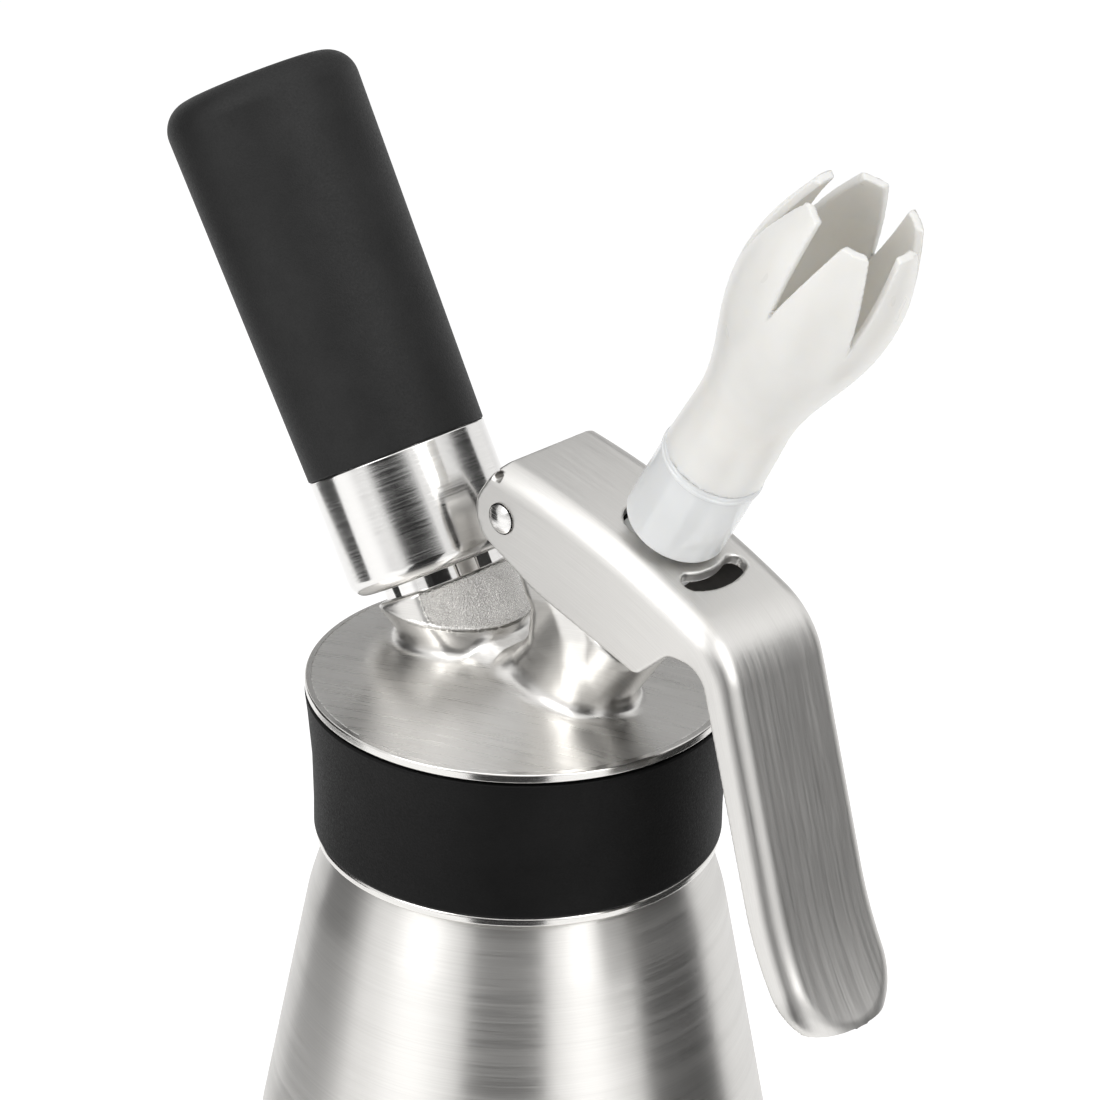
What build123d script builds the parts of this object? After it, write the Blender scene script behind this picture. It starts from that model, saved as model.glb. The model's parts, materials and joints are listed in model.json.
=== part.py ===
from build123d import *
from math import atan2, cos, degrees, hypot, radians, sin, tan
import os

# Whipped cream dispenser, millimetres, +Z up.  The origin is the centre of the bottle's base, the lever
# and the nozzle point towards +X and the charger holder leans towards -X.  Heights of head pieces are
# above the head datum, and heights along a leaning axis are from where it crosses the rim of the head.

# ---- clearances ----------------------------------------------------------------------------------------
THREAD_CLEARANCE = 0.08  # radial, between the two plain cylinders that stand for a thread
FACE_CLEARANCE = 0.12  # between faces of pieces that turn or slide on each other
STEM_FIT = 0.05
PIN_FIT = 0.06
LEVER_GAP = 0.35

# ---- bottle --------------------------------------------------------------------------------------------
BOTTLE_RADIUS = 43.0
BOTTLE_WALL = 1.0
BODY_HEIGHT = 70.0  # of the straight wall
BASE_CORNER = 7.0
FOOT_WIDTH = 10.0  # from the wall to the inner edge of the ring that the bottle stands on
FOOT_RECESS = 1.8
CONE_HEIGHT = 49.3  # of the long cone above the straight wall
CONE_BLEND = 90.0
SHOULDER_WIDTH = 3.1  # from the ledge's edge to where the long cone ends
SHOULDER_RISE = 10.3  # from there to the ledge
SHOULDER_BLEND = 30.0
LEDGE_WIDTH = 2.6
LEDGE_CORNER = 1.5
NECK_RADIUS = 28.0
NECK_HEIGHT = 18.2  # above the ledge
NECK_WALL = 1.6

# ---- head ----------------------------------------------------------------------------------------------
SKIRT_WALL = 2.92
SKIRT_DROP = 2.0  # below the head datum, which is just above the lower edge of the grip band
SKIRT_GAP = 0.4  # between the skirt and the bottle's ledge
LIP_WIDTH = 1.5  # of the steel lip that the grip band stands on
LIP_THICKNESS = 1.7
LIP_CORNER = 0.6
PLATE_OVERHANG = 3.2  # of the plate beyond the skirt
PLATE_TOP = 25.8
PLATE_THICKNESS = 1.4  # at its rim
PLATE_EDGE = 0.3
DOME_SLOPE = 8.0  # degrees
CEILING_RISE = 2.36  # of the head's flat inside above the gasket's seat
CAST_FILLET = 3.0

GASKET_WIDTH = 3.4
GASKET_THICKNESS = 2.1

BAND_GAP = 0.5  # between the band and the plate above it
BAND_LOWER_THICKNESS = 1.8
BAND_UPPER_THICKNESS = 3.25
BAND_FLARE_HEIGHT = 11.5
BAND_FLARE_BLEND = 130.0
BAND_CORNER = 0.5

# ---- charger side (leans towards -X) -------------------------------------------------------------------
CHARGER_LEAN = 31.5  # degrees from vertical
CHARGER_X = -10.5  # where the axis crosses the rim plane of the head
INLET_RADIUS = 12.2
INLET_HEIGHT = 12.5
STUB_RADIUS = 10.0
STUB_HEIGHT = 29.5
STUB_BORE = 4.75
GAS_PASSAGE_RADIUS = 1.3

HOLDER_START = 14.6
HOLDER_COLLAR_RADIUS = 14.9
HOLDER_COLLAR_END = 34.5
HOLDER_COLLAR_CORNER = 2.6
HOLDER_SHELL_RADIUS = 13.0
HOLDER_END = 95.4
HOLDER_CAP_THICKNESS = 2.2
HOLDER_BORE_GAP = 0.35
SLEEVE_LOWER_RADIUS = 14.9
SLEEVE_UPPER_RADIUS = 16.2
SLEEVE_END = 98.3
SLEEVE_CORNER = 5.0

CHARGER_RADIUS = 9.0
CHARGER_LENGTH = 65.5
CHARGER_NECK_RADIUS = 4.35
CHARGER_NECK_LENGTH = 8.0
CHARGER_SHOULDER_LENGTH = 7.0
CHARGER_SHOULDER_BLEND = 7.0
CHARGER_END_ROUND = 8.0
CHARGER_WALL = 1.6
CHARGER_SEAL_CAP = 1.2
PIERCED_HOLE_RADIUS = 1.15

NEEDLE_RADIUS = 1.0
NEEDLE_BORE = 0.45
NEEDLE_REACH = 3.2  # beyond the seal
PIN_HOLDER_HEIGHT = 7.0
SEAL_THICKNESS = 1.8
SEAL_BORE = 1.6

CHECK_VALVE_SEAT = -2.0
CHECK_VALVE_FLANGE = 3.7
CHECK_VALVE_FLANGE_THICKNESS = 1.4
CHECK_VALVE_BODY = 2.4
CHECK_VALVE_LENGTH = 6.5
CHECK_VALVE_LIP = 0.5
RETAINER_THICKNESS = 1.6

# ---- nozzle side (leans towards +X) --------------------------------------------------------------------
NOZZLE_LEAN = 30.2
NOZZLE_X = 10.4
BOSS_RADIUS = 7.6
BOSS_REACH = 2.6  # how much further the boss goes out towards the lever's side
BOSS_HEIGHT = 17.8
TOWER_RADIUS = 7.3
TOWER_HEIGHT = 30.4
SEAT_POCKET_RADIUS = 7.6
SEAT_HEIGHT = -1.5
FLOW_BORE = 5.3
GUIDE_START = 8.0
GUIDE_LENGTH = 7.5
GUIDE_RADIUS = 5.8
SPRING_RADIUS = 5.2  # to the middle of the wire
SPRING_WIRE = 1.0
SPRING_TURNS = 6
SPRING_POCKET_RADIUS = 6.2

STEM_RADIUS = 3.9
STEM_BORE = 2.4
STEM_TOP = 49.5
DISC_RADIUS = 6.4
DISC_THICKNESS = 2.4
VALVE_SEAL_RADIUS = 6.2
VALVE_SEAL_THICKNESS = 1.8
PORT_RADIUS = 1.3
PORT_HEIGHT = 1.6
PORT_RUNOUT = 0.5  # how far the stem's bore is drilled past the ports
O_RING_WIRE = 0.95
WASHER_RADIUS = 6.8
WASHER_THICKNESS = 1.5
CLIP_RADIUS = 4.6
CLIP_GROOVE_RADIUS = 3.4
CLIP_THICKNESS = 0.7
CLIP_OPENING = 4.0

ADAPTER_RADIUS = 8.2
ADAPTER_END = 59.4
ADAPTER_FLOOR = 50.6
ADAPTER_FOOT_CORNER = 1.0
ADAPTER_RIM_CORNER = 0.5
TIP_THREAD_RADIUS = 5.9
INSERT_BORE = 4.4
INSERT_ENGAGEMENT = 7.2
INSERT_SINK = 8.0
TIP_SEAL_BORE = 3.0
TIP_SEAL_THICKNESS = 1.2

TIP_FOOT_RADIUS = 8.2
TIP_WAIST_RADIUS = 7.8
TIP_WAIST_HEIGHT = 70.0
TIP_BULB_RADIUS = 12.65
TIP_BULB_HEIGHT = 96.8
TIP_MOUTH_RADIUS = 9.2
TIP_MOUTH_HEIGHT = 113.4
TIP_MOUTH_SLOPE = 18.5  # degrees that the petals lean in at the mouth
TIP_WALL = 1.5
TIP_BORE_END = 76.0
PETAL_COUNT = 6
PETAL_PHASE = 36.0  # degrees from +X round to the first notch
NOTCH_FLOOR = 98.0
NOTCH_HALF_ANGLE = 15.0  # degrees, half of the gap between two petals at the mouth

# ---- lever ---------------------------------------------------------------------------------------------
PIVOT_X = 6.7
PIVOT_HEIGHT = 59.1
PIN_RADIUS = 1.8
RIVET_HEAD_RADIUS = 2.8
RIVET_HEAD_HEIGHT = 0.95
LUG_RADIUS = 5.0
WEB_THICKNESS = 17.2
WEB_EDGE = 3.0
WEB_LEFT_FOOT = 7.5
WEB_RIGHT_FOOT = 13.0
WEB_RIGHT_RISE = 18.0

LEVER_WIDTH = 22.9
LEVER_SHEET = 2.0
LEVER_FOLD = 3.4
LEVER_END_SETBACK = 1.2  # end of the top plate, behind the pivot
LEVER_END_RISE = 8.44  # top surface at the end of the plate, above the pivot
EAR_RADIUS = 5.8
CHEEK_KNEE = (6.8, -9.9)  # from the pivot: where the cheek's lower edge bends
CHEEK_HEEL = (28.9, -16.4)  # from the pivot: the low corner before the arch
HEEL_RADIUS = 2.5
KNEE_RADIUS = 20.0
CROWN_START_SLOPE = 7.96  # degrees that the top surface falls where the plate ends
CROWN_RADIUS = 150.0
CROWN_TURN = 16.34
BEND_RADIUS = 15.2
BEND_TURN = 49.3
SHANK_LENGTH = 34.0
FLARE_RADIUS = 64.0
FLARE_TURN = 21.9
NOSE_OVERRUN = 12.0  # degrees that the grip's surfaces go on before the nose is cut
GRIP_DEPTH = 5.2  # height of the rim round the grip
RIM_FLARE_RADIUS = 52.0  # of the rim's free edge, which nears the face towards the nose
ARCH_RISE = 3.9
ARCH_WIDTH = 6.6
ARCH_RADIUS = 4.6
ARCH_END_RADIUS = 3.5

STEM_SLOT_RADIUS = 5.0
STEM_SLOT_TRAVEL = 2.9
CRESCENT_RADIUS = 11.15
CRESCENT_WIDTH = 3.5
CRESCENT_HALF_ANGLE = 25.0


# ---- shapes that repeat --------------------------------------------------------------------------------
def turned(points, corners=None):
    """A solid of revolution about local Z from (radius, height) corners, rounded where corners says."""
    face = make_face(Polyline(*points, close=True))
    for place, radius in (corners or {}).items():
        vertex = face.vertices().sort_by_distance(Vector(*place, 0))[0]
        face = fillet(vertex, radius)
    return revolve(Plane.XZ * face, Axis.Z)


def ring(inner, outer, bottom, top):
    """A plain ring about local Z."""
    return turned([(inner, bottom), (outer, bottom), (outer, top), (inner, top)])


def rod(radius, bottom, top):
    """A plain cylinder about local Z."""
    return Pos(0, 0, bottom) * Cylinder(radius, top - bottom, align=(Align.CENTER, Align.CENTER, Align.MIN))


def inset(points, wall):
    """The open outline moved to its left by wall, with its corners kept sharp."""
    moved = []
    for (ax, ay), (bx, by) in zip(points, points[1:]):
        length = hypot(bx - ax, by - ay)
        nx = -(by - ay) / length * wall
        ny = (bx - ax) / length * wall
        moved.append(((ax + nx, ay + ny), (bx + nx, by + ny)))
    corners = [moved[0][0]]
    for ((ax, ay), (bx, by)), ((cx, cy), (dx, dy)) in zip(moved, moved[1:]):
        cross = (bx - ax) * (dy - cy) - (by - ay) * (dx - cx)
        share = ((cx - ax) * (dy - cy) - (cy - ay) * (dx - cx)) / cross
        corners.append((ax + share * (bx - ax), ay + share * (by - ay)))
    corners.append(moved[-1][1])
    return corners


def tangent_point(place, centre, radius, side):
    """Where the line from place touches the circle about centre, passing it on the left (1) or right (-1)."""
    dx = centre[0] - place[0]
    dy = centre[1] - place[1]
    run = (dx**2 + dy**2 - radius**2) ** 0.5
    heading = atan2(dy, dx) + atan2(radius, run) * side
    return (place[0] + run * cos(heading), place[1] + run * sin(heading))


# ---- heights where bottle, head and band meet ----------------------------------------------------------
SHOULDER_HEIGHT = BODY_HEIGHT + CONE_HEIGHT
LEDGE_HEIGHT = SHOULDER_HEIGHT + SHOULDER_RISE
NECK_TOP = LEDGE_HEIGHT + NECK_HEIGHT
HEAD_HEIGHT = LEDGE_HEIGHT + SKIRT_GAP + SKIRT_DROP
GASKET_SEAT = NECK_TOP + FACE_CLEARANCE + GASKET_THICKNESS + FACE_CLEARANCE
HEAD_CEILING = GASKET_SEAT - HEAD_HEIGHT + CEILING_RISE
LIP_TOP = LIP_THICKNESS - SKIRT_DROP
PLATE_UNDER = PLATE_TOP - PLATE_THICKNESS
BAND_TOP = PLATE_UNDER - BAND_GAP
BAND_FLARE_START = BAND_TOP - BAND_FLARE_HEIGHT

# ---- radii that follow from the bottle's wall and neck -------------------------------------------------
FOOT_RADIUS = BOTTLE_RADIUS - FOOT_WIDTH
LEDGE_RADIUS = NECK_RADIUS + LEDGE_WIDTH
SHOULDER_RADIUS = LEDGE_RADIUS + SHOULDER_WIDTH
GASKET_BORE = NECK_RADIUS - GASKET_WIDTH
NECK_BORE = NECK_RADIUS + THREAD_CLEARANCE
SKIRT_RADIUS = NECK_BORE + SKIRT_WALL
LIP_RADIUS = SKIRT_RADIUS + LIP_WIDTH
PLATE_RADIUS = SKIRT_RADIUS + PLATE_OVERHANG
BAND_LOWER_RADIUS = SKIRT_RADIUS + BAND_LOWER_THICKNESS
BAND_UPPER_RADIUS = SKIRT_RADIUS + BAND_UPPER_THICKNESS

# ---- the two leaning axes ------------------------------------------------------------------------------
RIM_PLANE = HEAD_HEIGHT + PLATE_TOP
PIVOT_Z = HEAD_HEIGHT + PIVOT_HEIGHT


def leaning_plane(origin, lean):
    """The frame at origin whose local Z leans by lean degrees towards +X."""
    turn = radians(lean)
    return Plane(origin=origin, x_dir=(cos(turn), 0, -sin(turn)), z_dir=(sin(turn), 0, cos(turn)))


def leaning_axis(x, lean):
    """The frame whose local Z leans by lean degrees towards +X and crosses the rim plane at x."""
    return leaning_plane((x, 0, RIM_PLANE), lean)


CHARGER_AXIS = leaning_axis(CHARGER_X, -CHARGER_LEAN)
NOZZLE_AXIS = leaning_axis(NOZZLE_X, NOZZLE_LEAN)

# ---- where the lever's plate crosses the nozzle axis ---------------------------------------------------
LEVER_END_X = PIVOT_X - LEVER_END_SETBACK
LEVER_END_Z = PIVOT_Z + LEVER_END_RISE
CROWN_CENTRE_X = LEVER_END_X - CROWN_RADIUS * sin(radians(CROWN_START_SLOPE))
CROWN_CENTRE_Z = LEVER_END_Z - CROWN_RADIUS * cos(radians(CROWN_START_SLOPE))


def crown_crossing():
    """Height along the nozzle axis at which it leaves the lever's top surface."""
    offset_x = NOZZLE_X - CROWN_CENTRE_X
    offset_z = RIM_PLANE - CROWN_CENTRE_Z
    half = offset_x * sin(radians(NOZZLE_LEAN)) + offset_z * cos(radians(NOZZLE_LEAN))
    return -half + (half**2 - offset_x**2 - offset_z**2 + CROWN_RADIUS**2) ** 0.5


CROSSING = crown_crossing()
CROSSING_X = NOZZLE_X + CROSSING * sin(radians(NOZZLE_LEAN))
CROSSING_Z = RIM_PLANE + CROSSING * cos(radians(NOZZLE_LEAN))
CROSSING_SLOPE = degrees(atan2(CROSSING_X - CROWN_CENTRE_X, CROSSING_Z - CROWN_CENTRE_Z))
LEVER_TILT = NOZZLE_LEAN - CROSSING_SLOPE  # between the plate and a face square to the nozzle axis

# ---- heights along the nozzle axis that follow from the lever ------------------------------------------
PLATE_UNDERSIDE = CROSSING - LEVER_SHEET / cos(radians(LEVER_TILT))
WASHER_TOP = PLATE_UNDERSIDE - WASHER_RADIUS * tan(radians(LEVER_TILT)) - LEVER_GAP
WASHER_UNDER = WASHER_TOP - WASHER_THICKNESS
ADAPTER_START = CROSSING + ADAPTER_RADIUS * tan(radians(LEVER_TILT)) + LEVER_GAP
GUIDE_END = GUIDE_START + GUIDE_LENGTH
O_RING_HEIGHT = GUIDE_START + GUIDE_LENGTH / 2
O_RING_CENTRE = STEM_RADIUS + STEM_FIT / 2 - O_RING_WIRE / 2
DISC_TOP = SEAT_HEIGHT - VALVE_SEAL_THICKNESS
INSERT_START = ADAPTER_END - INSERT_ENGAGEMENT
TIP_START = ADAPTER_END + FACE_CLEARANCE
INSERT_END = TIP_START + INSERT_SINK

# ---- heights along the charger axis that follow from the charger ---------------------------------------
HOLDER_CAP_FLOOR = HOLDER_END - HOLDER_CAP_THICKNESS
CHARGER_END = HOLDER_CAP_FLOOR - FACE_CLEARANCE
CHARGER_START = CHARGER_END - CHARGER_LENGTH
SEAL_TOP = CHARGER_START - FACE_CLEARANCE
SEAL_UNDER = SEAL_TOP - SEAL_THICKNESS
STUB_BORE_FLOOR = SEAL_UNDER - PIN_HOLDER_HEIGHT
CHECK_VALVE_FLANGE_UNDER = CHECK_VALVE_SEAT - CHECK_VALVE_FLANGE_THICKNESS
CHECK_VALVE_POCKET = CHECK_VALVE_FLANGE + FACE_CLEARANCE


# ---- bottle and gasket ---------------------------------------------------------------------------------
def bottle():
    """The drawn steel bottle: recessed base, straight wall, long cone, shoulder, ledge and neck."""
    outer = [
        (0, FOOT_RECESS),
        (FOOT_RADIUS - FOOT_RECESS, FOOT_RECESS),
        (FOOT_RADIUS, 0),
        (BOTTLE_RADIUS, 0),
        (BOTTLE_RADIUS, BODY_HEIGHT),
        (SHOULDER_RADIUS, SHOULDER_HEIGHT),
        (LEDGE_RADIUS, LEDGE_HEIGHT),
        (NECK_RADIUS, LEDGE_HEIGHT),
        (NECK_RADIUS, NECK_TOP),
        (0, NECK_TOP),
    ]
    rounds = {
        outer[3]: BASE_CORNER,
        outer[4]: CONE_BLEND,
        outer[5]: SHOULDER_BLEND,
        outer[6]: LEDGE_CORNER,
    }
    inner = inset(outer[:8], BOTTLE_WALL)[:7]
    mouth = NECK_RADIUS - NECK_WALL
    hollow = inner + [(mouth, LEDGE_HEIGHT - BOTTLE_WALL), (mouth, NECK_TOP), (0, NECK_TOP)]
    inner_rounds = {
        inner[3]: BASE_CORNER - BOTTLE_WALL,
        inner[4]: CONE_BLEND - BOTTLE_WALL,
        inner[5]: SHOULDER_BLEND - BOTTLE_WALL,
    }
    return turned(outer, rounds) - turned(hollow, inner_rounds)


def head_gasket():
    """The flat silicone ring between the bottle's rim and the head."""
    top = GASKET_SEAT - FACE_CLEARANCE
    return ring(GASKET_BORE, NECK_RADIUS, top - GASKET_THICKNESS, top)


# ---- head ----------------------------------------------------------------------------------------------
def head_shell():
    """The turned part of the head: threaded skirt with its lip, rim, shallow cone and gasket's seat."""
    seat = GASKET_SEAT - HEAD_HEIGHT
    outline = [
        (0, HEAD_CEILING),
        (GASKET_BORE, HEAD_CEILING),
        (GASKET_BORE, seat),
        (NECK_BORE, seat),
        (NECK_BORE, -SKIRT_DROP),
        (LIP_RADIUS, -SKIRT_DROP),
        (LIP_RADIUS, LIP_TOP),
        (SKIRT_RADIUS, LIP_TOP),
        (SKIRT_RADIUS, PLATE_UNDER),
        (PLATE_RADIUS, PLATE_UNDER),
        (PLATE_RADIUS, PLATE_TOP),
        (0, PLATE_TOP + PLATE_RADIUS * tan(radians(DOME_SLOPE))),
    ]
    rounds = {outline[5]: LIP_CORNER, outline[6]: LIP_CORNER, outline[10]: PLATE_EDGE}
    seam_aside = Rot(0, 0, 90)  # keeps the cone's seam clear of the feet of the bosses
    return Pos(0, 0, HEAD_HEIGHT) * seam_aside * turned(outline, rounds)


def pivot_web():
    """The upright web between the two bosses, with the lug that carries the lever's pin."""
    pivot = (PIVOT_X, PIVOT_Z)
    left = (-WEB_LEFT_FOOT, RIM_PLANE)
    right = (WEB_RIGHT_FOOT, RIM_PLANE + WEB_RIGHT_RISE)
    outline = Polyline(
        left,
        (WEB_RIGHT_FOOT, RIM_PLANE),
        right,
        tangent_point(right, pivot, LUG_RADIUS, -1),
        pivot,
        tangent_point(left, pivot, LUG_RADIUS, 1),
        close=True,
    )
    face = make_face(outline) + Pos(*pivot) * Circle(LUG_RADIUS)
    web = extrude(Plane.XZ * face, WEB_THICKNESS / 2, both=True)
    return fillet([edge for edge in web.edges() if abs((edge % 0.5).Y) < 0.5], WEB_EDGE)


def cast_on(shell, boss):
    """The shell with a boss on its cone, blended in all round the boss's foot."""
    joined = shell + boss
    foot = []
    for edge in joined.edges():
        if edge.geom_type not in (GeomType.LINE, GeomType.CIRCLE) and edge.bounding_box().min.Z > RIM_PLANE:
            foot.append(edge)
    return fillet(foot, CAST_FILLET)


def nozzle_boss(bottom, top):
    """The boss round the valve, longer towards the lever's side."""
    section = Pos(BOSS_REACH / 2, 0, bottom) * SlotCenterToCenter(BOSS_REACH, BOSS_RADIUS * 2)
    return extrude(section, top - bottom)


def head_body():
    """The head casting: shell, charger inlet and stub, nozzle boss and tower, and pivot web."""
    sink = RIM_PLANE - HEAD_HEIGHT - HEAD_CEILING
    reach = SLEEVE_END  # long enough to drill right through
    shell = head_shell()
    inlet = CHARGER_AXIS * rod(INLET_RADIUS, -sink, INLET_HEIGHT)
    nozzle = NOZZLE_AXIS * nozzle_boss(-sink, BOSS_HEIGHT)
    head = cast_on(shell, inlet) + cast_on(shell, nozzle) + cast_on(shell, pivot_web())
    head += NOZZLE_AXIS * rod(TOWER_RADIUS, 0, TOWER_HEIGHT)
    head += CHARGER_AXIS * rod(STUB_RADIUS, 0, STUB_HEIGHT)
    head -= Pos(0, 0, GASKET_SEAT) * Cylinder(
        NECK_BORE, NECK_HEIGHT, align=(Align.CENTER, Align.CENTER, Align.MAX)
    )
    head -= CHARGER_AXIS * rod(STUB_BORE, STUB_BORE_FLOOR, reach)
    head -= CHARGER_AXIS * rod(GAS_PASSAGE_RADIUS, -reach, STUB_BORE_FLOOR)
    head -= CHARGER_AXIS * rod(CHECK_VALVE_POCKET, -reach, CHECK_VALVE_SEAT)
    head -= NOZZLE_AXIS * rod(SEAT_POCKET_RADIUS, -reach / 2, SEAT_HEIGHT)
    head -= NOZZLE_AXIS * rod(FLOW_BORE, SEAT_HEIGHT, GUIDE_START)
    head -= NOZZLE_AXIS * rod(GUIDE_RADIUS, GUIDE_START, GUIDE_END)
    head -= NOZZLE_AXIS * rod(SPRING_POCKET_RADIUS, GUIDE_END, reach)
    head -= Pos(PIVOT_X, 0, PIVOT_Z) * Rot(90, 0, 0) * Cylinder(PIN_RADIUS + PIN_FIT, LEVER_WIDTH)
    return head


def head_grip_band():
    """The silicone band round the skirt, which flares a little towards the rim."""
    outline = [
        (SKIRT_RADIUS, LIP_TOP),
        (BAND_LOWER_RADIUS, LIP_TOP),
        (BAND_LOWER_RADIUS, BAND_FLARE_START),
        (BAND_UPPER_RADIUS, BAND_TOP),
        (SKIRT_RADIUS, BAND_TOP),
    ]
    return Pos(0, 0, HEAD_HEIGHT) * turned(outline, {outline[1]: BAND_CORNER, outline[2]: BAND_FLARE_BLEND})


# ---- charger side --------------------------------------------------------------------------------------
def charger_holder():
    """The steel holder: polished collar with the thread, and the tube that the sleeve covers."""
    thread = STUB_RADIUS + THREAD_CLEARANCE
    bore = CHARGER_RADIUS + HOLDER_BORE_GAP
    step = STUB_HEIGHT + HOLDER_BORE_GAP
    outline = [
        (thread, HOLDER_START),
        (HOLDER_COLLAR_RADIUS, HOLDER_START),
        (HOLDER_COLLAR_RADIUS, HOLDER_COLLAR_END),
        (HOLDER_SHELL_RADIUS, HOLDER_COLLAR_END),
        (HOLDER_SHELL_RADIUS, HOLDER_END),
        (0, HOLDER_END),
        (0, HOLDER_CAP_FLOOR),
        (bore, HOLDER_CAP_FLOOR),
        (bore, step),
        (thread, step),
    ]
    return CHARGER_AXIS * turned(outline, {outline[1]: HOLDER_COLLAR_CORNER})


def charger_holder_sleeve():
    """The black silicone sleeve that keeps the hand off the cold holder, a little wider at its end."""
    outline = [
        (HOLDER_SHELL_RADIUS, HOLDER_COLLAR_END),
        (SLEEVE_LOWER_RADIUS, HOLDER_COLLAR_END),
        (SLEEVE_UPPER_RADIUS, SLEEVE_END),
        (0, SLEEVE_END),
        (0, HOLDER_END),
        (HOLDER_SHELL_RADIUS, HOLDER_END),
    ]
    return CHARGER_AXIS * turned(outline, {outline[2]: SLEEVE_CORNER})


def gas_charger():
    """The 8 g steel capsule, hollow, with its sealing cap already pierced."""
    neck_end = CHARGER_START + CHARGER_NECK_LENGTH
    shoulder_end = neck_end + CHARGER_SHOULDER_LENGTH
    outer = [
        (CHARGER_NECK_RADIUS, CHARGER_START),
        (CHARGER_NECK_RADIUS, neck_end),
        (CHARGER_RADIUS, shoulder_end),
        (CHARGER_RADIUS, CHARGER_END),
        (0, CHARGER_END),
    ]
    inner = inset(outer, CHARGER_WALL)
    cap = CHARGER_START + CHARGER_SEAL_CAP
    hollow = [(0, cap), (inner[0][0], cap)] + inner[1:]
    solid = turned(
        [(PIERCED_HOLE_RADIUS, CHARGER_START)] + outer[:4] + [(PIERCED_HOLE_RADIUS, CHARGER_END)],
        {outer[2]: CHARGER_SHOULDER_BLEND, outer[3]: CHARGER_END_ROUND - PIERCED_HOLE_RADIUS},
    )
    plug = rod(PIERCED_HOLE_RADIUS, CHARGER_END - CHARGER_WALL, CHARGER_END)
    rounds = {inner[2]: CHARGER_SHOULDER_BLEND - CHARGER_WALL, inner[3]: CHARGER_END_ROUND - CHARGER_WALL * 2}
    return CHARGER_AXIS * (solid + plug - turned(hollow, rounds))


def pin_holder():
    """The threaded plug in the stub that holds the needle."""
    return CHARGER_AXIS * ring(NEEDLE_RADIUS, STUB_BORE - STEM_FIT, STUB_BORE_FLOOR, SEAL_UNDER)


def piercing_pin():
    """The hollow needle, cut to a slant at its tip."""
    tip = SEAL_TOP + NEEDLE_REACH
    needle = ring(NEEDLE_BORE, NEEDLE_RADIUS, STUB_BORE_FLOOR, tip)
    slant = Pos(NEEDLE_RADIUS, 0, tip) * Rot(0, 45, 0) * Box(
        NEEDLE_RADIUS * 6, NEEDLE_RADIUS * 4, NEEDLE_RADIUS * 2
    )
    return CHARGER_AXIS * (needle - slant)


def charger_seal():
    """The rubber ring round the needle that the charger's neck presses on."""
    return CHARGER_AXIS * ring(SEAL_BORE, STUB_BORE - FACE_CLEARANCE, SEAL_UNDER, SEAL_TOP)


def check_valve():
    """The duckbill that lets gas into the bottle and keeps it there when the holder comes off."""
    foot = CHECK_VALVE_SEAT - CHECK_VALVE_LENGTH
    outline = [
        (GAS_PASSAGE_RADIUS, CHECK_VALVE_SEAT),
        (CHECK_VALVE_LIP / 2, foot + CHECK_VALVE_LIP),
        (CHECK_VALVE_LIP / 2, foot),
        (CHECK_VALVE_LIP * 2, foot),
        (CHECK_VALVE_BODY, CHECK_VALVE_FLANGE_UNDER),
        (CHECK_VALVE_FLANGE, CHECK_VALVE_FLANGE_UNDER),
        (CHECK_VALVE_FLANGE, CHECK_VALVE_SEAT),
    ]
    return CHARGER_AXIS * turned(outline)


def check_valve_retainer():
    """The screwed ring that holds the duckbill's flange on its seat."""
    bottom = CHECK_VALVE_FLANGE_UNDER - RETAINER_THICKNESS
    bore = CHECK_VALVE_BODY + FACE_CLEARANCE
    return CHARGER_AXIS * ring(bore, CHECK_VALVE_FLANGE, bottom, CHECK_VALVE_FLANGE_UNDER)


# ---- dispensing valve ----------------------------------------------------------------------------------
def valve_stem():
    """The hollow stem with its disc, side ports, and grooves for the O-ring and the clip."""
    bottom = DISC_TOP - DISC_THICKNESS
    stem = rod(STEM_RADIUS, bottom, STEM_TOP)
    stem += rod(DISC_RADIUS, bottom, DISC_TOP)
    stem -= rod(STEM_BORE, PORT_HEIGHT - PORT_RADIUS - PORT_RUNOUT, STEM_TOP)
    for turn in (0, 90):
        port = Rot(0, 0, turn) * Rot(90, 0, 0) * Cylinder(PORT_RADIUS, STEM_RADIUS * 4)
        stem -= Pos(0, 0, PORT_HEIGHT) * port
    half_groove = O_RING_WIRE / 2 + STEM_FIT
    floor = O_RING_CENTRE - O_RING_WIRE / 2
    stem -= ring(floor, STEM_RADIUS * 2, O_RING_HEIGHT - half_groove, O_RING_HEIGHT + half_groove)
    stem -= ring(CLIP_GROOVE_RADIUS, STEM_RADIUS * 2, WASHER_UNDER - CLIP_THICKNESS, WASHER_UNDER)
    return NOZZLE_AXIS * stem


def valve_seal():
    """The rubber ring on the stem's disc that closes the seat."""
    return NOZZLE_AXIS * ring(STEM_RADIUS, VALVE_SEAL_RADIUS, DISC_TOP, SEAT_HEIGHT - STEM_FIT)


def valve_guide():
    """The plastic bush pressed into the boss, in which the stem slides."""
    return NOZZLE_AXIS * ring(STEM_RADIUS + STEM_FIT, GUIDE_RADIUS, GUIDE_START, GUIDE_END)


def stem_o_ring():
    """The O-ring that keeps cream out of the spring pocket."""
    return NOZZLE_AXIS * Pos(0, 0, O_RING_HEIGHT) * Torus(O_RING_CENTRE, O_RING_WIRE / 2)


def return_spring():
    """The coil spring between the guide and the washer."""
    lift = SPRING_WIRE / 2
    height = WASHER_UNDER - GUIDE_END - 2 * lift
    path = Helix(height / SPRING_TURNS, height, SPRING_RADIUS)
    section = Plane(origin=path @ 0, z_dir=path % 0) * Circle(SPRING_WIRE / 2)
    return NOZZLE_AXIS * Pos(0, 0, GUIDE_END + lift) * sweep(section, path=path, is_frenet=True)


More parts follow.
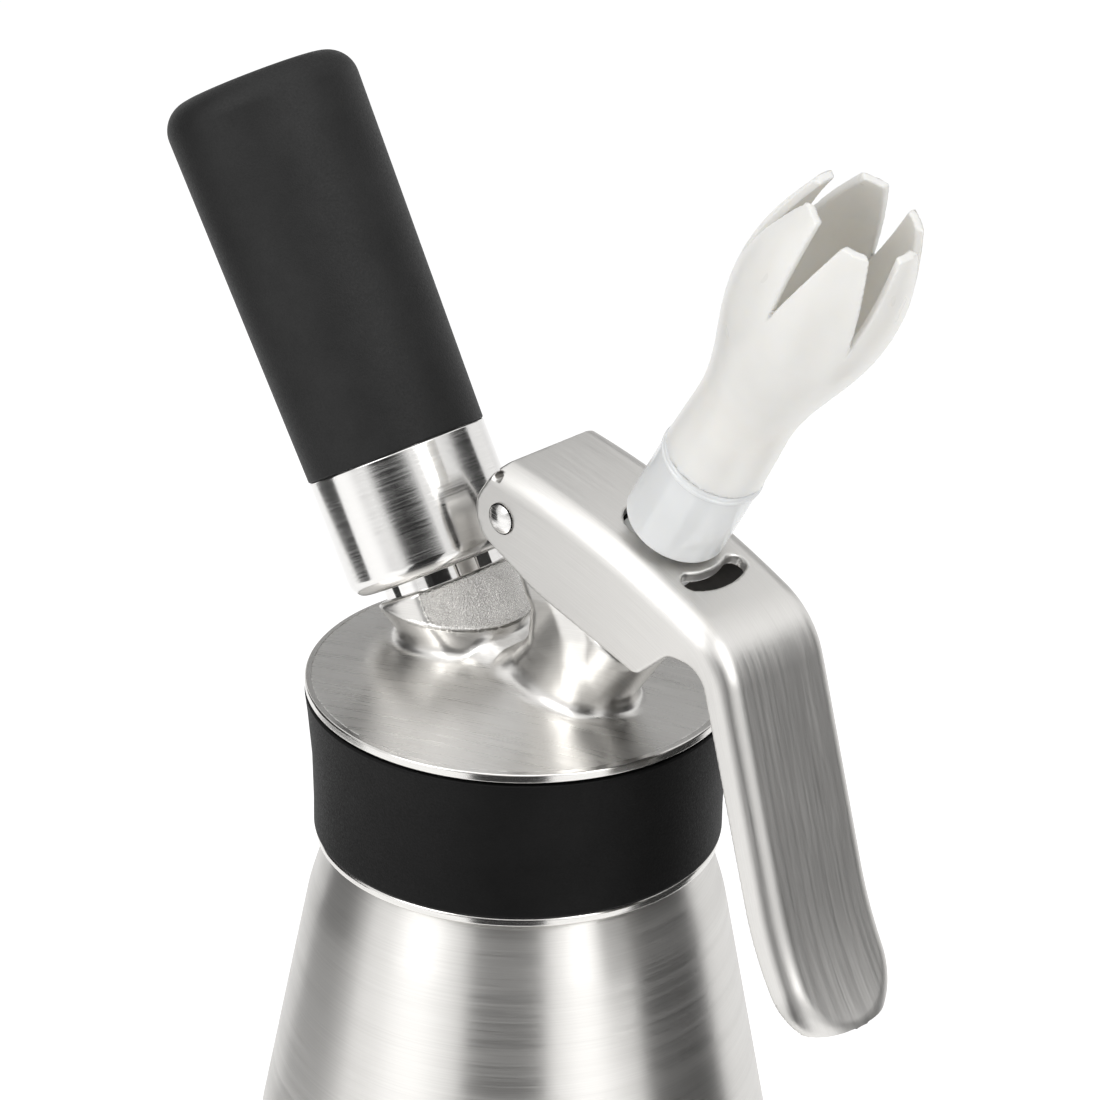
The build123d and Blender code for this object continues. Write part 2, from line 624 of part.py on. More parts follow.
def stem_clip():
    """The retaining clip in the stem's groove, open on one side."""
    clip = ring(CLIP_GROOVE_RADIUS, CLIP_RADIUS, WASHER_UNDER - CLIP_THICKNESS, WASHER_UNDER)
    opening = Pos(0, CLIP_RADIUS, WASHER_UNDER) * Box(CLIP_OPENING, CLIP_RADIUS * 2, CLIP_THICKNESS * 4)
    return NOZZLE_AXIS * (clip - opening)


def thrust_washer():
    """The washer under the lever's plate that takes the lever's push."""
    return NOZZLE_AXIS * ring(STEM_RADIUS, WASHER_RADIUS, WASHER_UNDER, WASHER_TOP)


# ---- nozzle --------------------------------------------------------------------------------------------
def tip_adapter():
    """The white collar screwed onto the stem, with the thread for the tip."""
    thread = TIP_THREAD_RADIUS + THREAD_CLEARANCE
    outline = [
        (STEM_RADIUS, ADAPTER_START),
        (ADAPTER_RADIUS, ADAPTER_START),
        (ADAPTER_RADIUS, ADAPTER_END),
        (thread, ADAPTER_END),
        (thread, ADAPTER_FLOOR),
        (STEM_BORE, ADAPTER_FLOOR),
        (STEM_BORE, STEM_TOP),
        (STEM_RADIUS, STEM_TOP),
    ]
    rounds = {outline[1]: ADAPTER_FOOT_CORNER, outline[2]: ADAPTER_RIM_CORNER}
    return NOZZLE_AXIS * turned(outline, rounds)


def tip_seal():
    """The small ring at the bottom of the adapter that the tip's insert presses on."""
    bottom = ADAPTER_FLOOR + FACE_CLEARANCE
    return NOZZLE_AXIS * ring(TIP_SEAL_BORE, TIP_THREAD_RADIUS, bottom, bottom + TIP_SEAL_THICKNESS)


def tip_thread_insert():
    """The steel thread insert moulded into the foot of the tip."""
    return NOZZLE_AXIS * ring(INSERT_BORE, TIP_THREAD_RADIUS, INSERT_START, INSERT_END)


def bulb_face(wall):
    """Half section of the tip from the waist to the mouth, drawn wall inside its outer surface."""
    waist = (TIP_WAIST_RADIUS - wall, TIP_WAIST_HEIGHT)
    bulb = (TIP_BULB_RADIUS - wall, TIP_BULB_HEIGHT)
    mouth = (TIP_MOUTH_RADIUS - wall, TIP_MOUTH_HEIGHT)
    rise = (TIP_BULB_HEIGHT - TIP_WAIST_HEIGHT) * 0.37
    closing = (TIP_MOUTH_HEIGHT - TIP_BULB_HEIGHT) * 0.37
    lean = tan(radians(TIP_MOUTH_SLOPE))
    side = [
        Bezier(waist, (waist[0], waist[1] + rise), (bulb[0], bulb[1] - rise), bulb),
        Bezier(bulb, (bulb[0], bulb[1] + closing), (mouth[0] + closing * lean, mouth[1] - closing), mouth),
        Polyline(mouth, (0, mouth[1]), (0, waist[1]), waist),
    ]
    return make_face(side)


def tulip_tip():
    """The white tip: foot, waist and bulb, cut into petals at its mouth."""
    foot = [(0, TIP_START), (TIP_FOOT_RADIUS, TIP_START), (TIP_WAIST_RADIUS, TIP_WAIST_HEIGHT)]
    outer = turned(foot + [(0, TIP_WAIST_HEIGHT)]) + revolve(Plane.XZ * bulb_face(0), Axis.Z)
    hollow = revolve(Plane.XZ * bulb_face(TIP_WALL), Axis.Z)
    hollow = hollow & rod(TIP_BULB_RADIUS, TIP_BORE_END, TIP_MOUTH_HEIGHT)
    tip = outer - hollow
    tip -= rod(INSERT_BORE, TIP_START, TIP_BORE_END)
    tip -= rod(TIP_THREAD_RADIUS, TIP_START, INSERT_END)
    half_gap = TIP_MOUTH_RADIUS * tan(radians(NOTCH_HALF_ANGLE))
    mouth = TIP_MOUTH_HEIGHT
    notch = Polyline((0, NOTCH_FLOOR), (half_gap, mouth), (-half_gap, mouth), close=True)
    wedge = extrude(Plane.XZ * make_face(notch), -TIP_BULB_RADIUS * 2)
    for count in range(PETAL_COUNT):
        tip -= Rot(0, 0, PETAL_PHASE - 90 + count * 360 / PETAL_COUNT) * wedge
    return NOZZLE_AXIS * tip


# ---- lever ---------------------------------------------------------------------------------------------
def lever_line(depth, overrun=0):
    """The lever's top and face line, depth inside its surface: crown, bend, shank and flare.

    The flare turns on past the nose by overrun degrees.
    """
    slope = radians(CROWN_START_SLOPE)
    start = (LEVER_END_X - depth * sin(slope), LEVER_END_Z - depth * cos(slope))
    crown = JernArc(start, (cos(slope), -sin(slope)), CROWN_RADIUS - depth, -CROWN_TURN)
    bend = JernArc(crown @ 1, crown % 1, BEND_RADIUS - depth, -BEND_TURN)
    shank = Line(bend @ 1, bend @ 1 + (bend % 1) * SHANK_LENGTH)
    flare = JernArc(shank @ 1, shank % 1, FLARE_RADIUS + depth, FLARE_TURN + overrun)
    return crown, bend, shank, flare


def nose_prism(half_width):
    """What the rounded end of the grip is cut to: a long tongue square to the grip's end."""
    flare = lever_line(0)[3]
    tip = flare @ 1
    along = flare % 1
    end_plane = Plane(origin=(tip.X, 0, tip.Y), x_dir=(along.X, 0, along.Y), z_dir=(-along.Y, 0, along.X))
    length = LEVER_WIDTH * 8
    centre = -LEVER_WIDTH / 2
    tongue = Pos(centre - length / 2, 0) * Rectangle(length, LEVER_WIDTH * 2)
    tongue += Pos(centre, 0) * Circle(half_width)
    return extrude(end_plane * tongue, length, both=True)


def lever_block(depth):
    """The solid under the lever's surface moved in by depth, folded over at its long edges and nose."""
    half_width = LEVER_WIDTH / 2 - depth
    crown, bend, shank, flare = lever_line(depth, NOSE_OVERRUN)
    lead_in = crown @ 0 - (crown % 0) * LEVER_WIDTH
    end = flare @ 1
    under = end + Vector((flare % 1).Y, -(flare % 1).X) * LEVER_WIDTH
    closing = Polyline(end, under, (lead_in.X, under.Y), lead_in, crown @ 0)
    side = make_face([crown, bend, shank, flare, closing])
    block = extrude(Plane.XZ * side, half_width, both=True) & nose_prism(half_width)
    top_line = Wire([crown, bend, shank, flare])
    folded = []
    for edge in block.edges():
        middle = edge @ 0.5
        across = abs((edge % 0.5).Y) > 0.99 and edge.geom_type == GeomType.LINE
        if not across and top_line.distance_to(Vector(middle.X, middle.Z)) < 1e-3:
            folded.append(edge)
    return fillet(folded, LEVER_FOLD - depth)


def cheek_face():
    """Side view of what stays of the folded sheet: ear, cheek, arch and the rim along the grip."""
    pivot = Vector(PIVOT_X, PIVOT_Z)
    crown, bend, shank, flare = lever_line(-LEVER_SHEET, NOSE_OVERRUN)  # passes outside the sheet
    inner_shank = lever_line(GRIP_DEPTH)[2]
    inner_flare = JernArc(inner_shank @ 1, inner_shank % 1, RIM_FLARE_RADIUS, FLARE_TURN + NOSE_OVERRUN)
    arch_start = inner_shank @ 0 - (inner_shank % 0) * ARCH_RISE
    arch_end = arch_start - Vector(ARCH_WIDTH, 0)
    heel = pivot + Vector(*CHEEK_HEEL)
    knee = pivot + Vector(*CHEEK_KNEE)
    ear_foot = tangent_point((knee.X, knee.Y), (pivot.X, pivot.Y), EAR_RADIUS, 1)
    ear_top = tangent_point((LEVER_END_X, LEVER_END_Z), (pivot.X, pivot.Y), EAR_RADIUS, -1)
    lower = FilletPolyline(
        inner_shank @ 0,
        arch_start,
        arch_end,
        heel,
        knee,
        ear_foot,
        radius=[ARCH_RADIUS, ARCH_END_RADIUS, HEEL_RADIUS, KNEE_RADIUS],
    )
    ear = Polyline(ear_foot, pivot, ear_top, (LEVER_END_X, LEVER_END_Z), crown @ 0)
    past_nose = Line(flare @ 1, inner_flare @ 1)
    edge = [crown, bend, shank, flare, past_nose, inner_flare, inner_shank, lower, ear]
    return make_face(edge) + Pos(*pivot) * Circle(EAR_RADIUS)


def lever():
    """The folded steel lever with its rivet holes, stem slot and crescent."""
    shell = lever_block(0) - lever_block(LEVER_SHEET)
    shell = shell & extrude(Plane.XZ * cheek_face(), LEVER_WIDTH, both=True)
    shell -= Pos(PIVOT_X, 0, PIVOT_Z) * Rot(90, 0, 0) * Cylinder(PIN_RADIUS, LEVER_WIDTH * 2)
    plate = leaning_plane((CROSSING_X, 0, CROSSING_Z), CROSSING_SLOPE)
    stem_slot = Pos(-STEM_SLOT_TRAVEL / 2, 0) * SlotCenterToCenter(STEM_SLOT_TRAVEL, STEM_SLOT_RADIUS * 2)
    half = CRESCENT_HALF_ANGLE
    crescent = SlotArc(CenterArc((0, 0), CRESCENT_RADIUS, -half, 2 * half), CRESCENT_WIDTH)
    for opening in (stem_slot, crescent):
        shell -= extrude(plate * opening, LEVER_SHEET * 2, both=True)
    return shell


def pivot_pin():
    """The rivet that the lever turns on, with a low dome at each end."""
    half = LEVER_WIDTH / 2
    dome_radius = (RIVET_HEAD_RADIUS**2 + RIVET_HEAD_HEIGHT**2) / (2 * RIVET_HEAD_HEIGHT)
    pin = rod(PIN_RADIUS, -half, half)
    for side in (0, 180):
        dome = Pos(0, 0, half + RIVET_HEAD_HEIGHT - dome_radius) * Sphere(dome_radius)
        pin += Rot(side, 0, 0) * (dome & rod(RIVET_HEAD_RADIUS, half, half + RIVET_HEAD_HEIGHT))
    return Pos(PIVOT_X, 0, PIVOT_Z) * Rot(90, 0, 0) * pin


PARTS = {
    "bottle": bottle,
    "head_gasket": head_gasket,
    "head_body": head_body,
    "head_grip_band": head_grip_band,
    "charger_holder": charger_holder,
    "charger_holder_sleeve": charger_holder_sleeve,
    "gas_charger": gas_charger,
    "pin_holder": pin_holder,
    "piercing_pin": piercing_pin,
    "charger_seal": charger_seal,
    "check_valve": check_valve,
    "check_valve_retainer": check_valve_retainer,
    "valve_stem": valve_stem,
    "valve_seal": valve_seal,
    "valve_guide": valve_guide,
    "stem_o_ring": stem_o_ring,
    "return_spring": return_spring,
    "stem_clip": stem_clip,
    "thrust_washer": thrust_washer,
    "tip_adapter": tip_adapter,
    "tip_seal": tip_seal,
    "tip_thread_insert": tip_thread_insert,
    "tulip_tip": tulip_tip,
    "lever": lever,
    "pivot_pin": pivot_pin,
}

os.makedirs("parts", exist_ok=True)
for name, make in PARTS.items():
    export_step(make(), f"parts/{name}.step")
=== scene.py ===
import json
from itertools import product
from math import acos, atan2, ceil, cos, hypot, pi, radians, sin, tan

import bpy
import numpy as np
from mathutils import Matrix, Vector


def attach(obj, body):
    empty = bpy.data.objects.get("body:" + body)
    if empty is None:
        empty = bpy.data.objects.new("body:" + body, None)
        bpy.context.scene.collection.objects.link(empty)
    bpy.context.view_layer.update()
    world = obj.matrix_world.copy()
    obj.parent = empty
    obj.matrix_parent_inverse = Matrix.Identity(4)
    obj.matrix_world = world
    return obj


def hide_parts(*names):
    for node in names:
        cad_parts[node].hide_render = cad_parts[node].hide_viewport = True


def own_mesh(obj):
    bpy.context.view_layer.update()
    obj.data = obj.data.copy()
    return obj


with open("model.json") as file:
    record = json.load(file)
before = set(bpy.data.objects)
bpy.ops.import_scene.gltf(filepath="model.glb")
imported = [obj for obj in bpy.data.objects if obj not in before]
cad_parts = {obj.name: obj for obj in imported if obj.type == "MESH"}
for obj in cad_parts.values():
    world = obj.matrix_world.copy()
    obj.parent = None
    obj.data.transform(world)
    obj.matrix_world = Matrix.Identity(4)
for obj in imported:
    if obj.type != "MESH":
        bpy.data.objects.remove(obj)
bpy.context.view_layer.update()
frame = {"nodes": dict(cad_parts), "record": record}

# Lengths are in millimetres, as in the part's source, until a mesh is made.
MM = 0.001

# ---- sizes shared with the solids ----
RIM_PLANE = 157.8
HEAD_HEIGHT = 132.0
CHARGER_X = -10.5
CHARGER_LEAN = -31.5
NOZZLE_X = 10.4
NOZZLE_LEAN = 30.2
PIVOT = (6.7, 191.1)  # x and z of the pin that the lever turns on


def leaning(x, z, lean):
    """Frame at (x, 0, z) whose local Z leans by lean degrees towards +X: its three axes and its origin."""
    turn = radians(lean)
    axes = np.array(((cos(turn), 0, -sin(turn)), (0, 1, 0), (sin(turn), 0, cos(turn))))
    return axes, np.array((x, 0.0, z))


UPRIGHT = leaning(0, 0, 0)
HEAD = leaning(0, HEAD_HEIGHT, 0)
CHARGER = leaning(CHARGER_X, RIM_PLANE, CHARGER_LEAN)
NOZZLE = leaning(NOZZLE_X, RIM_PLANE, NOZZLE_LEAN)


def to_world(points, place):
    return points @ place[0] + place[1]


def to_local(points, place):
    return (points - place[1]) @ place[0].T


# ---- meshes ----
def add_object(name, data):
    """A mesh, lamp or camera as an object of the scene."""
    made = bpy.data.objects.new(name, data)
    bpy.context.scene.collection.objects.link(made)
    return made


def add_piece(name, vertices, faces, normals, owner, material, uv=None, masks=None):
    """A piece from millimetre vertices, with a normal for each face corner.

    The owner is the body that the piece rides on, its slot, which is not used, and the nodes that it
    replaces.
    """
    body, slot, replaces = owner
    mesh = bpy.data.meshes.new(name)
    mesh.from_pydata((np.asarray(vertices) * MM).tolist(), [], faces)
    mesh.polygons.foreach_set("use_smooth", [True] * len(mesh.polygons))
    for label, values in (masks or {}).items():
        layer = mesh.attributes.new(label, "FLOAT", "POINT")
        layer.data.foreach_set("value", np.asarray(values, dtype=np.float32))
    if uv is not None:
        layer = mesh.uv_layers.new(name="brush")
        layer.data.foreach_set("uv", np.asarray(uv, dtype=np.float32).ravel())
    mesh.normals_split_custom_set(np.asarray(normals).tolist())
    piece = add_object(name, mesh)
    mesh.materials.append(material)
    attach(piece, body)
    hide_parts(*replaces)
    return piece


# ---- turned pieces ----
ARC_STEP = radians(7)
SAME_PLACE = 1e-6
BRUSH_WRAP = 30.0  # millimetres of brushing for each radian round a piece


def fillet(before, corner, after, rounding, steps=None):
    """The centre of the arc that rounds a corner, and its spokes from the first side to the second."""
    before = np.subtract(before, corner)
    after = np.subtract(after, corner)
    before = before / hypot(*before)
    after = after / hypot(*after)
    opening = acos(float(np.clip(before @ after, -1, 1)))
    middle = before + after
    centre = np.array(corner) + middle / hypot(*middle) * rounding / sin(opening / 2)
    trim = rounding / tan(opening / 2)
    x, y = np.array(corner) + before * trim - centre
    end = np.array(corner) + after * trim - centre
    turn = pi - opening if x * end[1] - y * end[0] >= 0 else opening - pi
    steps = steps or max(2, ceil(abs(turn) / ARC_STEP))
    angles = [turn * step / steps for step in range(steps + 1)]
    return centre, [np.array((x * cos(a) - y * sin(a), x * sin(a) + y * cos(a))) for a in angles]


def winding(outline):
    """1 for an outline that runs anticlockwise, and -1 for the other way round."""
    pairs = zip(outline, outline[1:] + outline[:1])
    return 1 if sum(here[0] * there[1] - there[0] * here[1] for here, there in pairs) > 0 else -1


def profile(corners):
    """Closed outline through (radius, height, rounding) corners, as points with outward normals."""
    places = [corner[:2] for corner in corners]
    side = winding(corners)
    rows = []
    for before, (r, z, rounding), after in zip(places[-1:] + places, corners, places[1:] + places[:1]):
        back = np.subtract(before, (r, z))
        ahead = np.subtract(after, (r, z))
        normal_in = side * np.array((-back[1], back[0])) / hypot(*back)
        if rounding == 0:
            rows.append((r, z, *normal_in))
            rows.append((r, z, *(side * np.array((ahead[1], -ahead[0])) / hypot(*ahead))))
            continue
        centre, spokes = fillet(before, (r, z), after, rounding)
        convex = 1 if spokes[0] @ normal_in > 0 else -1
        rows += [(*(centre + spoke), *(spoke / rounding * convex)) for spoke in spokes]
    return rows


def same_place(a, b):
    return hypot(a[0] - b[0], a[1] - b[1]) < SAME_PLACE


def ring_vertices(rows, segments):
    """Vertices of an outline's rings, one where a ring is on the axis, and where each row's ring starts."""
    angles = np.arange(segments) * 2 * pi / segments
    vertices, first = [], []
    for i, (r, z, *_) in enumerate(rows):
        if i and same_place(rows[i], rows[i - 1]):
            first.append(first[-1])
        elif i and same_place(rows[i], rows[0]):
            first.append(0)
        else:
            first.append(len(vertices))
            count = 1 if r < SAME_PLACE else segments
            vertices.extend(zip(r * np.cos(angles[:count]), r * np.sin(angles[:count]), [z] * count))
    return np.array(vertices, dtype=float), first


def turned_faces(rows, first, segments):
    """Faces between neighbouring rings, with a normal and a place on the brushing for each corner."""
    outwards = winding(rows)
    faces, normals, uv = [], [], []
    run = 0.0
    for row, following, low, high in zip(rows, rows[1:] + rows[:1], first, first[1:] + first[:1]):
        pole_low, pole_high = row[0] < SAME_PLACE, following[0] < SAME_PLACE
        if low == high or (pole_low and pole_high):
            continue
        end = run + hypot(following[0] - row[0], following[1] - row[1])
        for j in range(segments):
            spots = [(low, row, j, run), (low, row, j + 1, run)]
            spots += [(high, following, j + 1, end), (high, following, j, end)]
            if pole_low:
                del spots[1]
            if pole_high:
                del spots[-1]
            face = []
            for start, point, step, along in spots[::outwards]:
                angle = 2 * pi * step / segments
                face.append(start if point[0] < SAME_PLACE else start + step % segments)
                normals.append((point[2] * cos(angle), point[2] * sin(angle), point[3]))
                uv.append((angle * BRUSH_WRAP * MM, along * MM))
            faces.append(face)
        run = end
    return faces, normals, uv


def lathe(name, corners, place, owner, material, segments=192):
    """A solid of revolution about the place's local Z, with exact normals."""
    rows = profile(corners)
    vertices, first = ring_vertices(rows, segments)
    faces, normals, uv = turned_faces(rows, first, segments)
    normals = np.array(normals) @ place[0]
    return add_piece(name, to_world(vertices, place), faces, normals, owner, material, uv)


# ---- freely shaped pieces ----
SLAB = 16  # grid layers sampled at a time
SETTLING_ROUNDS = 4
SETTLING_REACH = 0.6  # of a grid step
FLATTEST = 0.2  # slope below which a step towards the surface isn't lengthened
SLOPE_REACH = 0.02
NORMAL_REACH = 0.04


def gradient(distance, points, reach):
    steps = []
    for axis in range(3):
        offset = np.zeros(3)
        offset[axis] = reach
        steps.append(distance(points + offset) - distance(points - offset))
    return np.stack(steps, -1) / (2 * reach)


def sampled(distance, axes):
    """The distance at every point of a grid."""
    field = np.empty([len(a) for a in axes], dtype=np.float32)
    for i in range(0, len(axes[0]), SLAB):
        grid = np.stack(np.meshgrid(axes[0][i : i + SLAB], axes[1], axes[2], indexing="ij"), -1)
        field[i : i + SLAB] = distance(grid.reshape(-1, 3)).reshape(grid.shape[:3])
    return field


def crossed_cells(inside):
    """The grid cells that have corners on both sides of the surface."""
    cells = [n - 1 for n in inside.shape]
    filled = np.zeros(cells, dtype=np.int8)
    for i, j, k in product((0, 1), repeat=3):
        filled += inside[i : i + cells[0], j : j + cells[1], k : k + cells[2]]
    return np.argwhere((filled > 0) & (filled < 8))


def cell_points(field, active):
    """In each crossed cell, the mean of the places where the surface cuts its edges, in grid steps."""
    total = np.zeros((len(active), 3))
    hits = np.zeros(len(active))
    for axis, u, v in product(range(3), (0, 1), (0, 1)):
        start = np.insert(np.array((u, v)), axis, 0)
        end = start.copy()
        end[axis] = 1
        a = field[tuple((active + start).T)]
        b = field[tuple((active + end).T)]
        crossed = (a < 0) != (b < 0)
        share = np.where(crossed, a / np.where(crossed, a - b, 1), 0)
        spot = start + np.outer(share, end - start)
        total[crossed] += spot[crossed]
        hits += crossed
    return active + total / hits[:, None]


def cell_faces(inside, active):
    """A four-cornered face round each grid edge that the surface cuts, facing outwards."""
    index = np.full([n - 1 for n in inside.shape], -1, dtype=np.int64)
    index[tuple(active.T)] = np.arange(len(active))
    faces = []
    for axis in range(3):
        a = np.moveaxis(inside, axis, 0)
        cell = np.moveaxis(index, axis, 0)
        x, y, z = np.argwhere(a[:-1, 1:-1, 1:-1] != a[1:, 1:-1, 1:-1]).T
        quad = np.stack((cell[x, y, z], cell[x, y + 1, z], cell[x, y + 1, z + 1], cell[x, y, z + 1]), -1)
        outward = a[x, y + 1, z + 1]
        if axis == 1:
            outward = ~outward
        quad[~outward] = quad[~outward][:, ::-1]
        faces.append(quad)
    return np.concatenate(faces)


def surface_of(distance, low, high, step):
    """The zero surface of a distance function inside a box: vertices, four-cornered faces and normals."""
    field = sampled(distance, [np.arange(a, b + step, step) for a, b in zip(low, high)])
    inside = field < 0
    active = crossed_cells(inside)
    start = np.array(low) + cell_points(field, active) * step
    points = start
    for _ in range(SETTLING_ROUNDS):
        slope = gradient(distance, points, SLOPE_REACH)
        push = distance(points)[:, None] * slope / np.maximum((slope**2).sum(-1), FLATTEST)[:, None]
        points = start + np.clip(points - push - start, -SETTLING_REACH * step, SETTLING_REACH * step)
    normals = gradient(distance, points, NORMAL_REACH)
    normals /= np.maximum(np.linalg.norm(normals, axis=1), SAME_PLACE)[:, None]
    return points, cell_faces(inside, active), normals


def smooth_and(a, b, rounding):
    """What two distances share, with the edge between them rounded."""
    return (
        np.minimum(np.maximum(a + rounding, b + rounding), 0)
        + np.hypot(np.maximum(a + rounding, 0), np.maximum(b + rounding, 0))
        - rounding
    )


def smooth_or(a, b, fillet):
    """Two distances together, with a fillet where they meet."""
    near_a = np.maximum(fillet - a, 0)
    near_b = np.maximum(fillet - b, 0)
    return np.maximum(fillet, np.minimum(a, b)) - np.hypot(near_a, near_b)


def circle_distance(x, z, centre, radius):
    """Signed distance to a circle."""
    return np.hypot(x - centre[0], z - centre[1]) - radius


def polygon_distance(x, z, corners):
    """Signed distance to a closed polygon."""
    best = np.full(x.shape, np.inf)
    crossings = np.zeros(x.shape, dtype=bool)
    for (ax, az), (bx, bz) in zip(corners, corners[1:] + corners[:1]):
        dx, dz = bx - ax, bz - az
        size = dx * dx + dz * dz
        if size < SAME_PLACE**2:
            continue
        share = np.clip(((x - ax) * dx + (z - az) * dz) / size, 0, 1)
        best = np.minimum(best, (x - ax - share * dx) ** 2 + (z - az - share * dz) ** 2)
        between = (az <= z) != (bz <= z)
        if dz:
            crossings ^= between & (x < ax + (z - az) * dx / dz)
    return np.where(crossings, -1, 1) * np.sqrt(best)


def free_piece(name, distance, low, high, step, owner, material, brush=None, masks=None, place=UPRIGHT):
    """A piece from a distance function, given in the place's own frame."""
    points, faces, normals = surface_of(distance, low, high, step)
    uv = brush(points)[faces.ravel()] * MM if brush else None
    values = masks(points) if masks else None
    normals = (normals @ place[0])[faces.ravel()]
    return add_piece(name, to_world(points, place), faces.tolist(), normals, owner, material, uv, values)


# ---- finishes ----
NOISE_LOW = 0.3  # nearly all of a noise lies between these two values
NOISE_HIGH = 0.7
FIRST_COLOUR = 6  # sockets of the mix node when it mixes colours
SECOND_COLOUR = 7
MIXED_COLOUR = 2
QUARTER_TURN = 0.25


class Nodes:
    """Adds to the nodes of a material or a world."""

    def __init__(self, tree):
        self.tree = tree

    def node(self, kind, inputs=None, **settings):
        made = self.tree.nodes.new(kind)
        for key, value in settings.items():
            setattr(made, key, value)
        self.set(made, inputs or {})
        return made

    def set(self, made, inputs):
        """Gives inputs of a node their values, or links them to other nodes' outputs."""
        for key, value in inputs.items():
            if isinstance(value, bpy.types.NodeSocket):
                self.tree.links.new(value, made.inputs[key])
            else:
                made.inputs[key].default_value = value

    def math(self, operation, a, b):
        return self.node("ShaderNodeMath", {0: a, 1: b}, operation=operation).outputs[0]


class Finish(Nodes):
    """A procedural material under construction."""

    def __init__(self, name, colour, metallic=0.0, roughness=1.0, **sockets):
        self.material = bpy.data.materials.new(name)
        self.material.use_nodes = True
        super().__init__(self.material.node_tree)
        self.shader = self.tree.nodes["Principled BSDF"]
        self.set(self.shader, {"Base Color": (*colour, 1), "Metallic": metallic, "Roughness": roughness})
        self.set(self.shader, {key.replace("_", " "): value for key, value in sockets.items()})
        self.coordinates = self.node("ShaderNodeTexCoord").outputs["Object"]
        self.height = None

    def frame(self, place):
        """Coordinates in the frame of a place, so that a pattern follows a leaning axis."""
        turn = atan2(place[0][2][0], place[0][2][2])
        made = self.node("ShaderNodeMapping", {"Vector": self.coordinates}, vector_type="TEXTURE")
        self.set(made, {"Location": (place[1] * MM).tolist(), "Rotation": (0, turn, 0)})
        self.coordinates = made.outputs["Vector"]

    def noise(self, sizes, detail=3.0, roughness=0.6, source=None):
        """A noise whose features have the given sizes in millimetres."""
        scale = [1 / (size * MM) for size in sizes]
        made = self.node("ShaderNodeMapping", {"Vector": source or self.coordinates, "Scale": scale})
        inputs = {"Vector": made.outputs["Vector"], "Scale": 1.0, "Detail": detail, "Roughness": roughness}
        return self.node("ShaderNodeTexNoise", inputs).outputs["Fac"]

    def ramp(self, noise, start, end):
        """Maps the usual range of a noise to start..end, clamped."""
        made = self.node("ShaderNodeMapRange", {"Value": noise, "To Min": start, "To Max": end})
        self.set(made, {"From Min": NOISE_LOW, "From Max": NOISE_HIGH})
        return made.outputs["Result"]

    def attribute(self, name):
        return self.node("ShaderNodeAttribute", attribute_name=name).outputs["Fac"]

    def source(self, socket):
        """What drives a socket of the shader."""
        return self.shader.inputs[socket].links[0].from_socket

    def mix(self, factor, first, second):
        """Base colour that goes from the first to the second with a factor."""
        made = self.node("ShaderNodeMix", data_type="RGBA")
        self.set(made, {"Factor": factor, FIRST_COLOUR: first, SECOND_COLOUR: second})
        self.set(self.shader, {"Base Color": made.outputs[MIXED_COLOUR]})

    def tint(self, factor, dark, light):
        self.mix(factor, (*dark, 1), (*light, 1))

    def rough(self, value):
        self.set(self.shader, {"Roughness": value})

    def shade_and_roughen(self, mask, colour, rougher):
        """Goes over to a darker colour, painted shade, and a rougher surface where the mask is 1."""
        self.mix(mask, self.source("Base Color"), (*colour, 1))
        self.rough(self.math("ADD", self.source("Roughness"), self.math("MULTIPLY", mask, rougher)))

    def bump(self, value, depth):
        """Relief of the given depth in millimetres on top of what there is."""
        made = self.node("ShaderNodeBump", {"Height": value, "Distance": depth * MM})
        if self.height is not None:
            self.set(made, {"Normal": self.height})
        self.height = made.outputs["Normal"]
        self.set(self.shader, {"Normal": self.height})

    def tangent(self, direction=None):
        """The direction of the brushing: the UV map's first axis, or round the object's Z."""
        made = self.node("ShaderNodeTangent", direction_type="UV_MAP", uv_map="brush")
        if direction:
            made.direction_type = "RADIAL"
            made.axis = direction
        self.set(self.shader, {"Tangent": made.outputs["Tangent"]})


STEEL = (0.75, 0.738, 0.715)
STEEL_DARK = (0.67, 0.657, 0.635)
POLISHED = (0.80, 0.79, 0.775)
POLISHED_DARK = (0.74, 0.73, 0.715)
# painted shade: the inside of the folded lever, darkened where little light reaches it
LEVER_INSIDE_SHADE = (0.16, 0.155, 0.15)
COARSER = 6  # size of the broad variation against that of the brushing


def shade(colour, share):
    """A colour made darker or lighter."""
    return tuple(min(1.0, part * share) for part in colour)


def brushed_steel(name, sizes, roughness, anisotropic, relief=0.004, uv=False):
    """Steel brushed along the direction whose size is longest, which spreads reflections across it."""
    made = Finish(name, STEEL, 1.0, roughness, Anisotropic=anisotropic, Anisotropic_Rotation=QUARTER_TURN)
    source = made.node("ShaderNodeUVMap", uv_map="brush").outputs["UV"] if uv else None
    fine = made.noise(sizes, 4.0, 0.65, source)
    coarse = made.noise([size * COARSER for size in sizes], 2.0, source=source)
    made.tint(made.ramp(fine, 0, 1), STEEL_DARK, STEEL)
    spread = made.math("ADD", made.ramp(fine, -0.05, 0.05), made.ramp(coarse, -0.03, 0.03))
    made.rough(made.math("ADD", spread, roughness))
    made.bump(fine, relief)
    return made


def polished_steel(name, place, roughness, relief):
    made = Finish(name, POLISHED, 1.0, roughness, Anisotropic=0.5, Anisotropic_Rotation=QUARTER_TURN)
    made.frame(place)
    haze = made.noise((8, 8, 0.2))
    made.tint(made.ramp(haze, 0, 1), POLISHED_DARK, POLISHED)
    made.rough(made.ramp(haze, roughness * 0.6, roughness * 1.4))
    made.bump(haze, relief)
    made.tangent()
    return made


